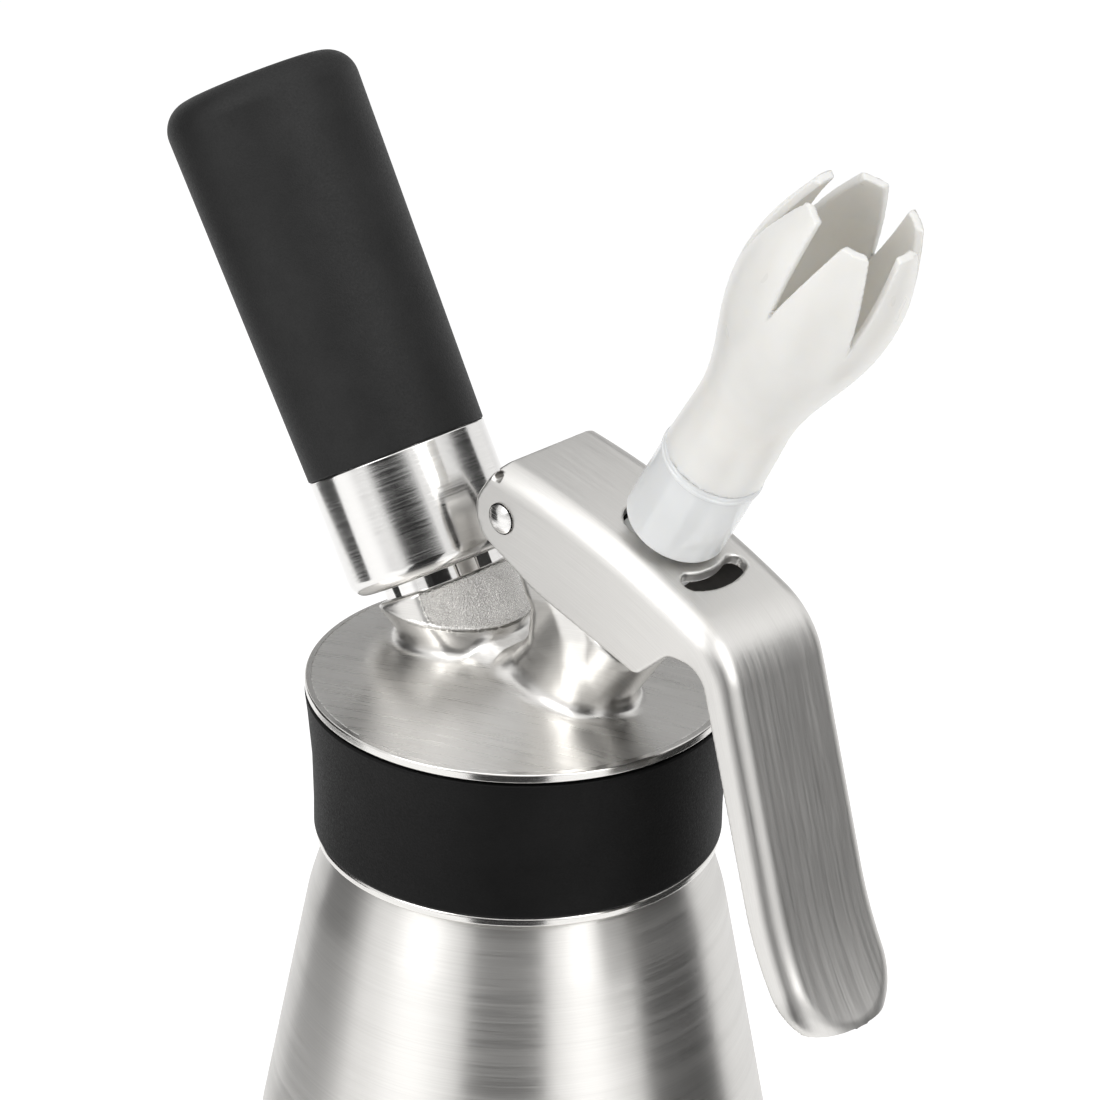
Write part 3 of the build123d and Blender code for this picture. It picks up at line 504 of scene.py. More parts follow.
def black_silicone(name, place, depth, specular):
    colour = (depth, depth, depth)
    made = Finish(name, colour, 0.0, 0.55, Specular_IOR_Level=specular)
    made.frame(place)
    grain = made.noise((0.35, 0.35, 0.35))
    clouds = made.noise((9, 9, 9))
    made.tint(made.ramp(clouds, 0, 1), shade(colour, 0.75), shade(colour, 1.25))
    made.rough(made.ramp(grain, 0.48, 0.66))
    made.bump(grain, 0.05)
    return made


def white_plastic(name, colour, depth, roughness):
    made = Finish(name, colour, 0.0, roughness, Subsurface_Weight=depth, IOR=1.5)
    made.set(made.shader, {"Subsurface Radius": (1.0, 0.9, 0.75), "Subsurface Scale": 2.5 * MM})
    flow = made.noise((9, 9, 14), 2.0)
    made.tint(made.ramp(flow, 0, 1), shade(colour, 0.97), shade(colour, 1.03))
    made.rough(made.ramp(flow, roughness - 0.03, roughness + 0.04))
    made.bump(made.noise((3.5, 3.5, 3.5), 2.0), 0.015)
    return made


def plain_part(name, colour, metallic, roughness, sizes, relief):
    """A finish for the small pieces inside: a grain of the given size over colour, gloss and relief."""
    made = Finish(name, colour, metallic, roughness)
    grain = made.noise(sizes)
    made.tint(made.ramp(grain, 0, 1), shade(colour, 0.86), colour)
    made.rough(made.ramp(grain, roughness - 0.08, roughness + 0.08))
    made.bump(grain, relief)
    return made


bottle_steel = brushed_steel("bottle_steel", (22, 22, 0.22), 0.4, 0.9)
bottle_steel.tangent("Z")
lever_steel = brushed_steel("lever_steel", (14, 0.16, 10), 0.38, 0.6, relief=0.001, uv=True)
lever_steel.tangent()
# painted shade darkens the inside of the folded sheet, which is also made rougher
lever_steel.shade_and_roughen(lever_steel.attribute("inside"), LEVER_INSIDE_SHADE, 0.2)
head_steel = brushed_steel("head_steel", (14, 0.22, 10), 0.3, 0.4, relief=0.001, uv=True)
head_steel.tangent()
collar_steel = polished_steel("collar_steel", CHARGER, 0.17, 0.0015)
neck_steel = polished_steel("neck_steel", CHARGER, 0.06, 0.0006)
rivet_steel = polished_steel("rivet_steel", UPRIGHT, 0.24, 0.001)
sleeve_black = black_silicone("sleeve_black", CHARGER, 0.012, 0.3)
band_black = black_silicone("band_black", UPRIGHT, 0.005, 0.14)
tip_white = white_plastic("tip_white", (0.86, 0.845, 0.81), 0.6, 0.3)
adapter_white = white_plastic("adapter_white", (0.80, 0.81, 0.81), 0.3, 0.14)

CARRIED_OVER = {
    row[0]: plain_part(*row)
    for row in (
        ("turned_steel", (0.6, 0.6, 0.6), 1.0, 0.32, (2, 2, 0.12), 0.004),
        ("spring_steel", (0.55, 0.55, 0.55), 1.0, 0.3, (0.4, 0.4, 0.4), 0.003),
        ("charger_steel", (0.66, 0.66, 0.66), 1.0, 0.38, (0.5, 0.5, 0.5), 0.006),
        ("seal_rubber", (0.05, 0.05, 0.05), 0.0, 0.65, (0.3, 0.3, 0.3), 0.02),
        ("guide_plastic", (0.8, 0.8, 0.78), 0.0, 0.4, (0.8, 0.8, 0.8), 0.01),
    )
}
SLOTS = {row["node"]: row["material_slot"] for row in frame["record"]["subparts"]}
for name, node in frame["nodes"].items():
    finish = CARRIED_OVER.get(SLOTS[name])
    if finish:
        node.data.materials.clear()
        node.data.materials.append(finish.material)


# ---- bottle and head's band ----
NECK_RADIUS = 28.0
NECK_TOP = 147.8
LEDGE = 129.6
BOTTLE_RADIUS = 43.0
BOTTLE_WALL = 1.0
BAND_FOOT = -0.3
BAND_TOP = 23.9
SKIRT_RADIUS = 31.0

lathe(
    "bottle_shell",
    [
        (0, 1.8, 0), (31.2, 1.8, 1.2), (33, 0, 0.6),
        (BOTTLE_RADIUS, 0, 7), (BOTTLE_RADIUS, 70, 90), (33.7, 119.3, 30),
        (30.6, LEDGE, 1.5), (NECK_RADIUS, LEDGE, 0), (NECK_RADIUS, NECK_TOP, 0.4),
        (26.4, NECK_TOP, 0.4), (26.4, LEDGE - BOTTLE_WALL, 1.2), (29.7, LEDGE - BOTTLE_WALL, 1.0),
        (32.8, 119.0, 29), (BOTTLE_RADIUS - BOTTLE_WALL, 69.8, 89),
        (BOTTLE_RADIUS - BOTTLE_WALL, BOTTLE_WALL, 6), (33.4, BOTTLE_WALL, 0.4),
        (31.6, 1.8 + BOTTLE_WALL, 0.8), (0, 1.8 + BOTTLE_WALL, 0),
    ],
    UPRIGHT, ("bottle", "bottle_steel", ["bottle"]), bottle_steel.material, 256
)
lathe(
    "grip_band",
    [
        (SKIRT_RADIUS, BAND_FOOT, 0.2), (32.8, BAND_FOOT, 0.6), (32.8, 12.4, 130),
        (34.25, BAND_TOP, 0.35), (SKIRT_RADIUS, BAND_TOP, 0),
    ],
    HEAD, ("head", "black_silicone", ["head_grip_band"]), band_black.material, 256
)

# ---- charger holder ----
COLLAR_START = 14.6
COLLAR_END = 34.5
COLLAR_RADIUS = 14.9
THREAD_RADIUS = 10.08
THREAD_END = 29.85
CHAMBER_RADIUS = 9.35
CHAMBER_END = 93.2
TUBE_RADIUS = 13.0
TUBE_END = 95.4
TUBE_ROUNDING = 1.2
SLEEVE_RADIUS = 16.2
SLEEVE_END = 98.3
SLEEVE_GAP = 0.05

lathe(
    "holder_collar",
    [
        (THREAD_RADIUS, COLLAR_START, 0.3), (COLLAR_RADIUS, COLLAR_START, 2.6),
        (COLLAR_RADIUS, COLLAR_END, 0.25), (TUBE_RADIUS, COLLAR_END, 0),
        (TUBE_RADIUS, TUBE_END, TUBE_ROUNDING), (0, TUBE_END, 0), (0, CHAMBER_END, 0),
        (CHAMBER_RADIUS, CHAMBER_END, 0), (CHAMBER_RADIUS, THREAD_END, 0),
        (THREAD_RADIUS, THREAD_END, 0),
    ],
    CHARGER, ("holder", "polished_steel", ["charger_holder"]), collar_steel.material
)
lathe(
    "holder_sleeve",
    [
        (TUBE_RADIUS, COLLAR_END + SLEEVE_GAP, 0), (COLLAR_RADIUS, COLLAR_END + SLEEVE_GAP, 0.35),
        (SLEEVE_RADIUS, SLEEVE_END, 5), (0, SLEEVE_END, 0), (0, TUBE_END + SLEEVE_GAP, 0),
        (TUBE_RADIUS, TUBE_END + SLEEVE_GAP, TUBE_ROUNDING),
    ],
    CHARGER, ("holder", "black_silicone", ["charger_holder_sleeve"]), sleeve_black.material
)

# ---- nozzle ----
ADAPTER_START = 43.53
ADAPTER_END = 59.4
ADAPTER_RADIUS = 8.2
ADAPTER_RING = 8.42
STEM_RADIUS = 2.4
STEM_SOCKET = 3.9
TIP_SOCKET = 5.98
TIP_FLOOR = 50.6
STEM_STOP = 49.5

lathe(
    "adapter",
    [
        (STEM_SOCKET, ADAPTER_START, 0.3), (ADAPTER_RADIUS, ADAPTER_START, 1.0),
        (ADAPTER_RADIUS, 57.9, 0.3), (ADAPTER_RING, 58.1, 0.15), (ADAPTER_RING, 58.5, 0.15),
        (ADAPTER_RADIUS, 58.7, 0.3), (ADAPTER_RADIUS, ADAPTER_END, 0.5),
        (TIP_SOCKET, ADAPTER_END, 0.2), (TIP_SOCKET, TIP_FLOOR, 0), (STEM_RADIUS, TIP_FLOOR, 0),
        (STEM_RADIUS, STEM_STOP, 0), (STEM_SOCKET, STEM_STOP, 0),
    ],
    NOZZLE, ("valve", "white_plastic", ["tip_adapter"]), adapter_white.material
)

TIP_START = 59.52
WAIST = (7.8, 70.0)
BULB = (12.65, 96.8)
MOUTH = (9.2, 113.4)
MOUTH_LEAN = tan(radians(18.5))
TIP_WALL = 1.5
TIP_EDGE = 0.3
INSERT_RADIUS = 5.9
INSERT_END = 67.52
BORE_RADIUS = 4.4
BORE_END = 76.0
CHAMBER_FOOT = 5.6
PETALS = 6
NOTCH_FLOOR = 98.0
NOTCH_PHASE = 36.0
NOTCH_SLOPE = MOUTH[0] * tan(radians(15)) / (MOUTH[1] - NOTCH_FLOOR)
NOTCH_REACH = 3.0  # nearer to the axis there is no notch
FULLNESS = 0.37  # how far the tip's side keeps its direction, as a share of its rise
PAST_AXIS = -1.0  # outlines of solid pieces end behind the axis
FAR_AWAY = 9.0


def bezier(a, b, c, d, count=14):
    """Points along a Bezier curve."""
    share = np.linspace(0, 1, count)[:, None]
    a, b, c, d = (np.array(p, dtype=float) for p in (a, b, c, d))
    ends = (1 - share) ** 3 * a + share**3 * d
    flat = ends + 3 * (1 - share) ** 2 * share * b + 3 * (1 - share) * share**2 * c
    return [tuple(p) for p in flat]


def bulb_outline(wall):
    """The tip's side from waist to mouth, wall inside its outer surface."""
    waist, bulb, mouth = ((r - wall, s) for r, s in (WAIST, BULB, MOUTH))
    rise = (BULB[1] - WAIST[1]) * FULLNESS
    closing = (MOUTH[1] - BULB[1]) * FULLNESS
    above_bulb = (bulb[0], bulb[1] + closing)
    below_mouth = (mouth[0] + closing * MOUTH_LEAN, mouth[1] - closing)
    lower = bezier(waist, (waist[0], waist[1] + rise), (bulb[0], bulb[1] - rise), bulb)
    return lower + bezier(bulb, above_bulb, below_mouth, mouth)[1:]


TIP_OUTER = [(PAST_AXIS, TIP_START), (ADAPTER_RADIUS, TIP_START)] + bulb_outline(0) + [(PAST_AXIS, MOUTH[1])]
TIP_BORE = [(PAST_AXIS, TIP_START - 5), (INSERT_RADIUS, TIP_START - 5), (INSERT_RADIUS, INSERT_END)]
TIP_BORE += [(BORE_RADIUS, INSERT_END), (BORE_RADIUS, BORE_END), (CHAMBER_FOOT, BORE_END)]
TIP_BORE += [p for p in bulb_outline(TIP_WALL) if p[1] > BORE_END]
TIP_BORE += [(MOUTH[0] - TIP_WALL - 3 * MOUTH_LEAN, MOUTH[1] + 3), (PAST_AXIS, MOUTH[1] + 3)]


def tip_distance(points):
    x, y, s = points.T
    r = np.hypot(x, y)
    outer = polygon_distance(r, s, TIP_OUTER)
    bore = polygon_distance(r, s, TIP_BORE)
    sector = np.arctan2(y, x) - radians(NOTCH_PHASE)
    sector = (sector + pi / PETALS) % (2 * pi / PETALS) - pi / PETALS
    side = np.abs(r * np.sin(sector))
    notch = (side - (s - NOTCH_FLOOR) * NOTCH_SLOPE) / hypot(1, NOTCH_SLOPE)
    notch = np.where(r * np.cos(sector) > NOTCH_REACH, notch, FAR_AWAY)
    return smooth_and(smooth_and(outer, -bore, TIP_EDGE), -notch, TIP_EDGE)


free_piece(
    "tulip", tip_distance, (-13.6, -13.6, TIP_START - 1), (13.6, 13.6, MOUTH[1] + 1), 0.42,
    ("tip", "white_plastic", ["tulip_tip"]), tip_white.material, place=NOZZLE
)


# ---- return spring ----
SPRING_START = 15.5
SPRING_END = 36.05
SPRING_RADIUS = 5.2
WIRE_RADIUS = 0.5
SPRING_TURNS = 6
STEPS_A_TURN = 40
WIRE_SIDES = 10


def coil():
    """The wire about the nozzle's axis: vertices, faces and a normal for each face corner."""
    steps = SPRING_TURNS * STEPS_A_TURN
    height = SPRING_END - SPRING_START - 2 * WIRE_RADIUS
    angle = np.linspace(0, 2 * pi * SPRING_TURNS, steps + 1)
    out = np.stack((np.cos(angle), np.sin(angle), 0 * angle), -1)
    path = out * SPRING_RADIUS
    path[:, 2] = SPRING_START + WIRE_RADIUS + height * np.linspace(0, 1, steps + 1)
    climb = height / (2 * pi * SPRING_TURNS) + 0 * angle
    heading = np.stack((-np.sin(angle) * SPRING_RADIUS, np.cos(angle) * SPRING_RADIUS, climb), -1)
    heading /= np.linalg.norm(heading, axis=1)[:, None]
    side = np.cross(heading, out)
    turn = np.arange(WIRE_SIDES) * 2 * pi / WIRE_SIDES
    spokes = out[:, None] * np.cos(turn)[:, None] + side[:, None] * np.sin(turn)[:, None]
    vertices = (path[:, None] + WIRE_RADIUS * spokes).reshape(-1, 3)
    spokes = spokes.reshape(-1, 3)
    faces, normals = [], []
    for i, j in product(range(steps), range(WIRE_SIDES)):
        here, k = i * WIRE_SIDES, (j + 1) % WIRE_SIDES
        face = [here + j, here + k, here + WIRE_SIDES + k, here + WIRE_SIDES + j]
        faces.append(face)
        normals.extend(spokes[face])
    for ring, facing, order in ((0, -heading[0], -1), (steps, heading[-1], 1)):
        faces.append([ring * WIRE_SIDES + j for j in range(WIRE_SIDES)][::order])
        normals.extend([facing] * WIRE_SIDES)
    return vertices, faces, np.array(normals)


def add_spring():
    """The coil spring about the nozzle's axis, on a mesh of its own."""
    vertices, faces, normals = coil()
    owner = ("head", "spring_steel", ["return_spring"])
    steel = CARRIED_OVER["spring_steel"].material
    spring = add_piece("spring_coil", to_world(vertices, NOZZLE), faces, normals @ NOZZLE[0], owner, steel)
    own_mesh(spring)


add_spring()


# ---- lever ----
LEVER_END = np.array((5.5, 199.54))
HALF_WIDTH = 11.45
SHEET = 2.0
CROWN_RADIUS = 150.0
BEND_RADIUS = 15.2
SHANK_LENGTH = 34.0
FLARE_RADIUS = 64.0
START_SLOPE = radians(7.96)
CROWN_END_SLOPE = START_SLOPE + radians(16.34)
SHANK_SLOPE = CROWN_END_SLOPE + radians(49.3)
FLARE_TURN = radians(21.9)
NOSE_OVERRUN = radians(12)
FOLD_AT_PLATE = 3.7
FOLD_AT_GRIP = 3.2
SHEET_EDGE = 0.45
GRIP_DEPTH = 5.2
RIM_FLARE_RADIUS = 52.0
EAR_RADIUS = 5.8
KNEE = (PIVOT[0] + 6.8, PIVOT[1] - 9.9)
HEEL = (PIVOT[0] + 28.9, PIVOT[1] - 16.4)
ARCH_OVERHANG = 3.9  # how far the arch reaches up along the shank
ARCH_WIDTH = 6.6


def along(slope):
    return np.array((cos(slope), -sin(slope)))


def out_of(slope):
    return np.array((sin(slope), cos(slope)))


CROWN_CENTRE = LEVER_END - CROWN_RADIUS * out_of(START_SLOPE)
CROWN_END = CROWN_CENTRE + CROWN_RADIUS * out_of(CROWN_END_SLOPE)
BEND_CENTRE = CROWN_END - BEND_RADIUS * out_of(CROWN_END_SLOPE)
BEND_END = BEND_CENTRE + BEND_RADIUS * out_of(SHANK_SLOPE)
SHANK_END = BEND_END + SHANK_LENGTH * along(SHANK_SLOPE)
FLARE_CENTRE = SHANK_END + FLARE_RADIUS * out_of(SHANK_SLOPE)
CROWN_RUN = CROWN_RADIUS * (CROWN_END_SLOPE - START_SLOPE)
BEND_RUN = CROWN_RUN + BEND_RADIUS * (SHANK_SLOPE - CROWN_END_SLOPE)
SHANK_RUN = BEND_RUN + SHANK_LENGTH
NOSE_RUN = SHANK_RUN + FLARE_RADIUS * FLARE_TURN


def lever_run(x, z):
    """Distance along the lever's top line and depth below it, for places in its side view."""
    slope = np.arctan2(x - CROWN_CENTRE[0], z - CROWN_CENTRE[1])
    run = CROWN_RADIUS * (slope - START_SLOPE)
    depth = -circle_distance(x, z, CROWN_CENTRE, CROWN_RADIUS)
    after = (x - CROWN_END[0]) * cos(CROWN_END_SLOPE) - (z - CROWN_END[1]) * sin(CROWN_END_SLOPE) > 0
    slope = np.arctan2(x - BEND_CENTRE[0], z - BEND_CENTRE[1])
    run = np.where(after, CROWN_RUN + BEND_RADIUS * (slope - CROWN_END_SLOPE), run)
    depth = np.where(after, -circle_distance(x, z, BEND_CENTRE, BEND_RADIUS), depth)
    dx, dz = x - BEND_END[0], z - BEND_END[1]
    ahead = dx * cos(SHANK_SLOPE) - dz * sin(SHANK_SLOPE)
    after &= ahead > 0
    run = np.where(after, BEND_RUN + ahead, run)
    depth = np.where(after, -dx * sin(SHANK_SLOPE) - dz * cos(SHANK_SLOPE), depth)
    after &= ahead > SHANK_LENGTH
    slope = np.arctan2(FLARE_CENTRE[0] - x, FLARE_CENTRE[1] - z)
    run = np.where(after, SHANK_RUN + FLARE_RADIUS * (SHANK_SLOPE - slope), run)
    depth = np.where(after, circle_distance(x, z, FLARE_CENTRE, FLARE_RADIUS), depth)
    return run, depth


def arc(centre, radius, start, end, count):
    """Points of an arc whose outward slope goes from start to end."""
    return [tuple(centre + radius * out_of(start + (end - start) * i / count)) for i in range(count + 1)]


def rounded_line(corners):
    """Points of an open line through (x, z, rounding) corners."""
    points = [corners[0][:2]]
    for before, corner, after in zip(corners, corners[1:], corners[2:]):
        centre, spokes = fillet(before[:2], corner[:2], after[:2], corner[2], 10)
        points += [tuple(centre + spoke) for spoke in spokes]
    return points + [corners[-1][:2]]


def tangent_point(place, centre, radius, side):
    """Where the line from place touches the circle about centre, passing it on the left (1) or right (-1)."""
    dx, dz = centre[0] - place[0], centre[1] - place[1]
    run = (dx**2 + dz**2 - radius**2) ** 0.5
    heading = atan2(dz, dx) + atan2(radius, run) * side
    return place[0] + run * cos(heading), place[1] + run * sin(heading)


def cheek_outline():
    """Side view of the lever: ear, cheek, arch and the rim along the grip."""
    ear_foot = tangent_point(KNEE, PIVOT, EAR_RADIUS, 1)
    ear_top = tangent_point(tuple(LEVER_END), PIVOT, EAR_RADIUS, -1)
    points = [ear_top, tuple(LEVER_END)]
    points += arc(CROWN_CENTRE, CROWN_RADIUS + SHEET, START_SLOPE, CROWN_END_SLOPE, 8)
    points += arc(BEND_CENTRE, BEND_RADIUS + SHEET, CROWN_END_SLOPE, SHANK_SLOPE, 16)
    end_slope = SHANK_SLOPE - FLARE_TURN - NOSE_OVERRUN
    points += arc(FLARE_CENTRE, -(FLARE_RADIUS - SHEET), SHANK_SLOPE, end_slope, 24)
    rim_start = SHANK_END - GRIP_DEPTH * out_of(SHANK_SLOPE)
    rim_centre = rim_start + RIM_FLARE_RADIUS * out_of(SHANK_SLOPE)
    points += arc(rim_centre, -RIM_FLARE_RADIUS, end_slope, SHANK_SLOPE, 24)
    arch_low = BEND_END - GRIP_DEPTH * out_of(SHANK_SLOPE)
    arch_high = arch_low - ARCH_OVERHANG * along(SHANK_SLOPE)
    corners = [(*arch_low, 0), (*arch_high, 4.6), (arch_high[0] - ARCH_WIDTH, arch_high[1], 3.5)]
    points += rounded_line(corners + [(*HEEL, 2.5), (*KNEE, 20), (*ear_foot, 0)])
    start = atan2(*np.subtract(ear_foot, PIVOT))
    end = atan2(*np.subtract(ear_top, PIVOT))
    turn = (end - start) % (2 * pi)
    points += arc(np.array(PIVOT), EAR_RADIUS, start, start + turn, 24)[1:-1]
    return points


CHEEK = cheek_outline()
CROSSING = leaning(31.233, 193.594, 18.061)
STEM_SLOT_RADIUS = 5.0
STEM_SLOT_TRAVEL = 2.9
CRESCENT_RADIUS = 11.15
CRESCENT_WIDTH = 3.5
CRESCENT_END = radians(25)
PLATE_REACH = 6.0  # the cut-outs go through the plate only, not through what lies further below
RIVET_HOLE = 1.85
CORNER_NOTCH = (LEVER_END[0] - 0.2, LEVER_END[1] - 1.9)
CORNER_NOTCH_RADIUS = 0.75
CORNER_NOTCH_WIDTH = 3.4
# depth below the outer surface where the painted shade of the inside starts
INSIDE_SHADE_DEPTH = SHEET * 0.85
INSIDE_SHADE_BLEND = 0.2


def nose_distance(run, y):
    """Plan distance of the lever's blank: straight sides and a round nose."""
    past = np.maximum(run - (NOSE_RUN - HALF_WIDTH), 0)
    return np.hypot(past, y) - HALF_WIDTH


def crescent_distance(u, v):
    """Distance to the crescent slot in the plate's own plane."""
    turn = np.arctan2(v, u)
    end_u = CRESCENT_RADIUS * cos(CRESCENT_END)
    end_v = CRESCENT_RADIUS * sin(CRESCENT_END)
    at_end = np.hypot(u - end_u, np.abs(v) - end_v)
    on_arc = np.abs(np.hypot(u, v) - CRESCENT_RADIUS)
    return np.where(np.abs(turn) < CRESCENT_END, on_arc, at_end) - CRESCENT_WIDTH / 2


def lever_outside(points):
    """Distance to the lever's folded outer surface, without its cut-outs."""
    x, y, z = points.T
    run, depth = lever_run(x, z)
    fold = FOLD_AT_PLATE + (FOLD_AT_GRIP - FOLD_AT_PLATE) * np.clip((run - CROWN_RUN) / BEND_RADIUS, 0, 1)
    return smooth_and(nose_distance(run, y), -depth, fold)


def lever_distance(points):
    x, y, z = points.T
    shell = np.abs(lever_outside(points) + SHEET / 2) - SHEET / 2
    body = smooth_and(shell, polygon_distance(x, z, CHEEK), SHEET_EDGE)
    u, v, w = to_local(points, CROSSING).T
    slot = np.hypot(u - np.clip(u, -STEM_SLOT_TRAVEL, 0), v) - STEM_SLOT_RADIUS
    cut = np.minimum(slot, crescent_distance(u, v))
    body = np.where(np.abs(w) < PLATE_REACH, smooth_and(body, -cut, SHEET_EDGE), body)
    rivet = circle_distance(x, z, PIVOT, RIVET_HOLE)
    notch = circle_distance(x, z, CORNER_NOTCH, CORNER_NOTCH_RADIUS)
    notch = np.maximum(notch, HALF_WIDTH - CORNER_NOTCH_WIDTH - np.abs(y))
    return smooth_and(smooth_and(body, -rivet, 0.15), -notch, 0.2)


def lever_inside_shade(points):
    """1 on the inside of the folded sheet, which gets painted shade, and a rougher surface as it isn't
    brushed.
    """
    # the attribute named inside is the mask of this painted shade
    return {"inside": np.clip((-lever_outside(points) - INSIDE_SHADE_DEPTH) / INSIDE_SHADE_BLEND, 0, 1)}


def lever_brush(points):
    """Place on the unrolled sheet: along the lever, and across it over the folds."""
    x, y, z = points.T
    run, depth = lever_run(x, z)
    return np.stack((run, y + np.sign(y) * np.maximum(depth, 0)), -1)


free_piece(
    "lever_shell", lever_distance, (-1, -12.2, 125), (76, 12.2, 201), 0.42,
    ("lever", "lever_steel", ["lever"]), lever_steel.material, lever_brush, lever_inside_shade
)

RIVET_HEAD = 2.8
RIVET_RISE = 0.95
RIVET_SHAFT = 1.8
RIVET_GAP = 0.02
RIVET_SPHERE = (RIVET_HEAD**2 + RIVET_RISE**2) / (2 * RIVET_RISE)
DOME_STEPS = 10


def add_rivet(side, label):
    """One domed end of the rivet, on the lever's side towards +Y (1) or -Y (-1)."""
    dome = [(0, -1, 0), (RIVET_SHAFT, -1, 0), (RIVET_SHAFT, RIVET_GAP, 0), (RIVET_HEAD, RIVET_GAP, 0.15)]
    reach = np.arcsin(RIVET_HEAD / RIVET_SPHERE)
    for step in range(DOME_STEPS - 1, -1, -1):
        angle = reach * step / DOME_STEPS
        rise = RIVET_SPHERE * cos(angle) - RIVET_SPHERE + RIVET_RISE
        dome.append((RIVET_SPHERE * sin(angle), rise, 0))
    axes = np.array(((1.0, 0, 0), (0, 0, -side), (0, side, 0)))
    place = (axes, np.array((PIVOT[0], side * HALF_WIDTH, PIVOT[1])))
    lathe(f"rivet_{label}", dome, place, ("lever", "polished_steel", ["pivot_pin"]), rivet_steel.material, 64)


add_rivet(1, "far")
add_rivet(-1, "near")


# ---- head casting ----
DOME_ANGLE = radians(8)
DOME_RISE = tan(DOME_ANGLE)
PLATE_RADIUS = 34.2
DOME_RADIUS = 33.5  # where the turned rim takes over from the cone
RIM_UNDER = 156.4
CEILING = 152.5
CEILING_RADIUS = 24.6
LUG_RADIUS = 5.0
LUG_RIGHT = (19.5, 173.4)
VALLEY = [(8.4, 175.5), (7.2, 169.8), (3.6, 165.4), (0.4, 163.3), (-5.0, 165.9), (-9.0, 167.6)]
VALLEY += [(-12.0, 158.0)]
LUG = [(LUG_RIGHT[0], RIM_PLANE), LUG_RIGHT, tangent_point(LUG_RIGHT, PIVOT, LUG_RADIUS, -1), PIVOT]
LUG += [tangent_point(VALLEY[0], PIVOT, LUG_RADIUS, 1)] + VALLEY
CAST_FILLET = 3.0
WEB_HALF = 8.6
WEB_EDGE = 3.0
WEB_TAPER = 0.15
WEB_TAPER_START = 178.0
BOSS_RADIUS = 7.5
BOSS_STRETCH = 2.6  # how much longer the boss is towards the lever's grip
BOSS_TOP = 21.5
BOSS_TAPER = 0.12
BOSS_TAPER_START = 170.0
NOZZLE_TUBE = 7.3
NOZZLE_TUBE_END = 30.4
INLET_RADIUS = 12.0
INLET_TOP = 12.5
INLET_EDGE = 0.6
INLET_FREE = 5.4  # from here on the inlet's barrel stands free of the web
PARTING = 166.5
TAPER = 0.42
RIDGE_RADIUS = 0.2
RIVET_BORE = 1.86
PIN_BORE = 4.75
NEEDLE_BORE = 1.3
# Each bore's axis, radius, start and end.
BORES = (
    (CHARGER, PIN_BORE, 10.5, 60), (CHARGER, NEEDLE_BORE, -30, 11), (CHARGER, 3.7, -30, -2),
    (NOZZLE, 7.6, -30, -1.5), (NOZZLE, 5.3, -2, 8.5), (NOZZLE, 5.8, 8, 16), (NOZZLE, 6.2, 15.5, 60),
)


def rod_distance(local, radius, low, high, edge=0.3):
    """Distance to a rod about the local Z."""
    side = np.hypot(local[:, 0], local[:, 1]) - radius
    ends = np.maximum(low - local[:, 2], local[:, 2] - high)
    return smooth_and(side, ends, edge)


def dome_distance(points):
    """The shallow cone inside its rim, hollow below."""
    x, y, z = points.T
    r = np.hypot(x, y)
    cone = (z - RIM_PLANE - (PLATE_RADIUS - r) * DOME_RISE) * cos(DOME_ANGLE)
    top = smooth_and(cone, r - DOME_RADIUS, 0.05)
    inside = smooth_and(z - CEILING, r - CEILING_RADIUS, 0.1)
    return smooth_and(smooth_and(top, RIM_UNDER - z, 0.05), -inside, 0.1)


def web_distance(points):
    """The web between the bosses, with the lug that carries the lever."""
    x, y, z = points.T
    lug = np.minimum(polygon_distance(x, z, LUG), circle_distance(x, z, PIVOT, LUG_RADIUS))
    return smooth_and(lug, np.abs(y) - WEB_HALF + WEB_TAPER * np.maximum(WEB_TAPER_START - z, 0), WEB_EDGE)


def nozzle_boss(points):
    """The tapering boss and the tube above it that hold the valve."""
    u, v, along_axis = to_local(points, NOZZLE).T
    taper = BOSS_TAPER * np.maximum(BOSS_TAPER_START - points[:, 2], 0)
    side = np.hypot(u - np.clip(u, 0, BOSS_STRETCH), v) - BOSS_RADIUS + taper
    boss = smooth_and(side, along_axis - BOSS_TOP, 1.0)
    return np.minimum(boss, rod_distance(to_local(points, NOZZLE), NOZZLE_TUBE, 0, NOZZLE_TUBE_END))


def bores_distance(points):
    """The hole for the rivet and the bores of inlet and valve."""
    bores = circle_distance(points[:, 0], points[:, 2], PIVOT, RIVET_BORE)
    for place, radius, low, high in BORES:
        bores = np.minimum(bores, rod_distance(to_local(points, place), radius, low, high, 0.1))
    return bores


def head_distance(points):
    z = points[:, 2]
    u, v, along_axis = to_local(points, CHARGER).T
    around = np.hypot(u, v)
    top = along_axis - INLET_TOP
    barrel = (around - INLET_RADIUS + TAPER * np.maximum(PARTING - z, 0)) / hypot(1, TAPER)
    left = smooth_and(smooth_and(barrel, u - INLET_FREE, 1.0), top, INLET_EDGE)
    foot = smooth_or(smooth_or(left, web_distance(points), CAST_FILLET), nozzle_boss(points), CAST_FILLET)
    body = smooth_or(dome_distance(points), foot, CAST_FILLET)
    ridge = np.hypot(around - INLET_RADIUS, z - PARTING) - RIDGE_RADIUS
    ridge = np.maximum(ridge, top + INLET_EDGE)
    body = smooth_or(body, smooth_or(smooth_and(barrel, top, INLET_EDGE), ridge, 0.15), 0.7)
    return smooth_and(body, -bores_distance(points), 0.2)


CAST_BLEND = 2.5  # height above the cone at which its brushing has gone
BLAST_START = 11.3  # distance from the inlet's axis
BLAST_BLEND = 0.4
BLAST_END = 12.6
BLAST_TOP = 12.2
BLAST_FOOT = 163.2
BLAST_FOOT_CURVE = 0.036
PARTING_BLEND = 0.5
BLAST_UNDER_PARTING = 0.12  # how strong the blasting is below the parting line
BRUSH_TURN = radians(22)


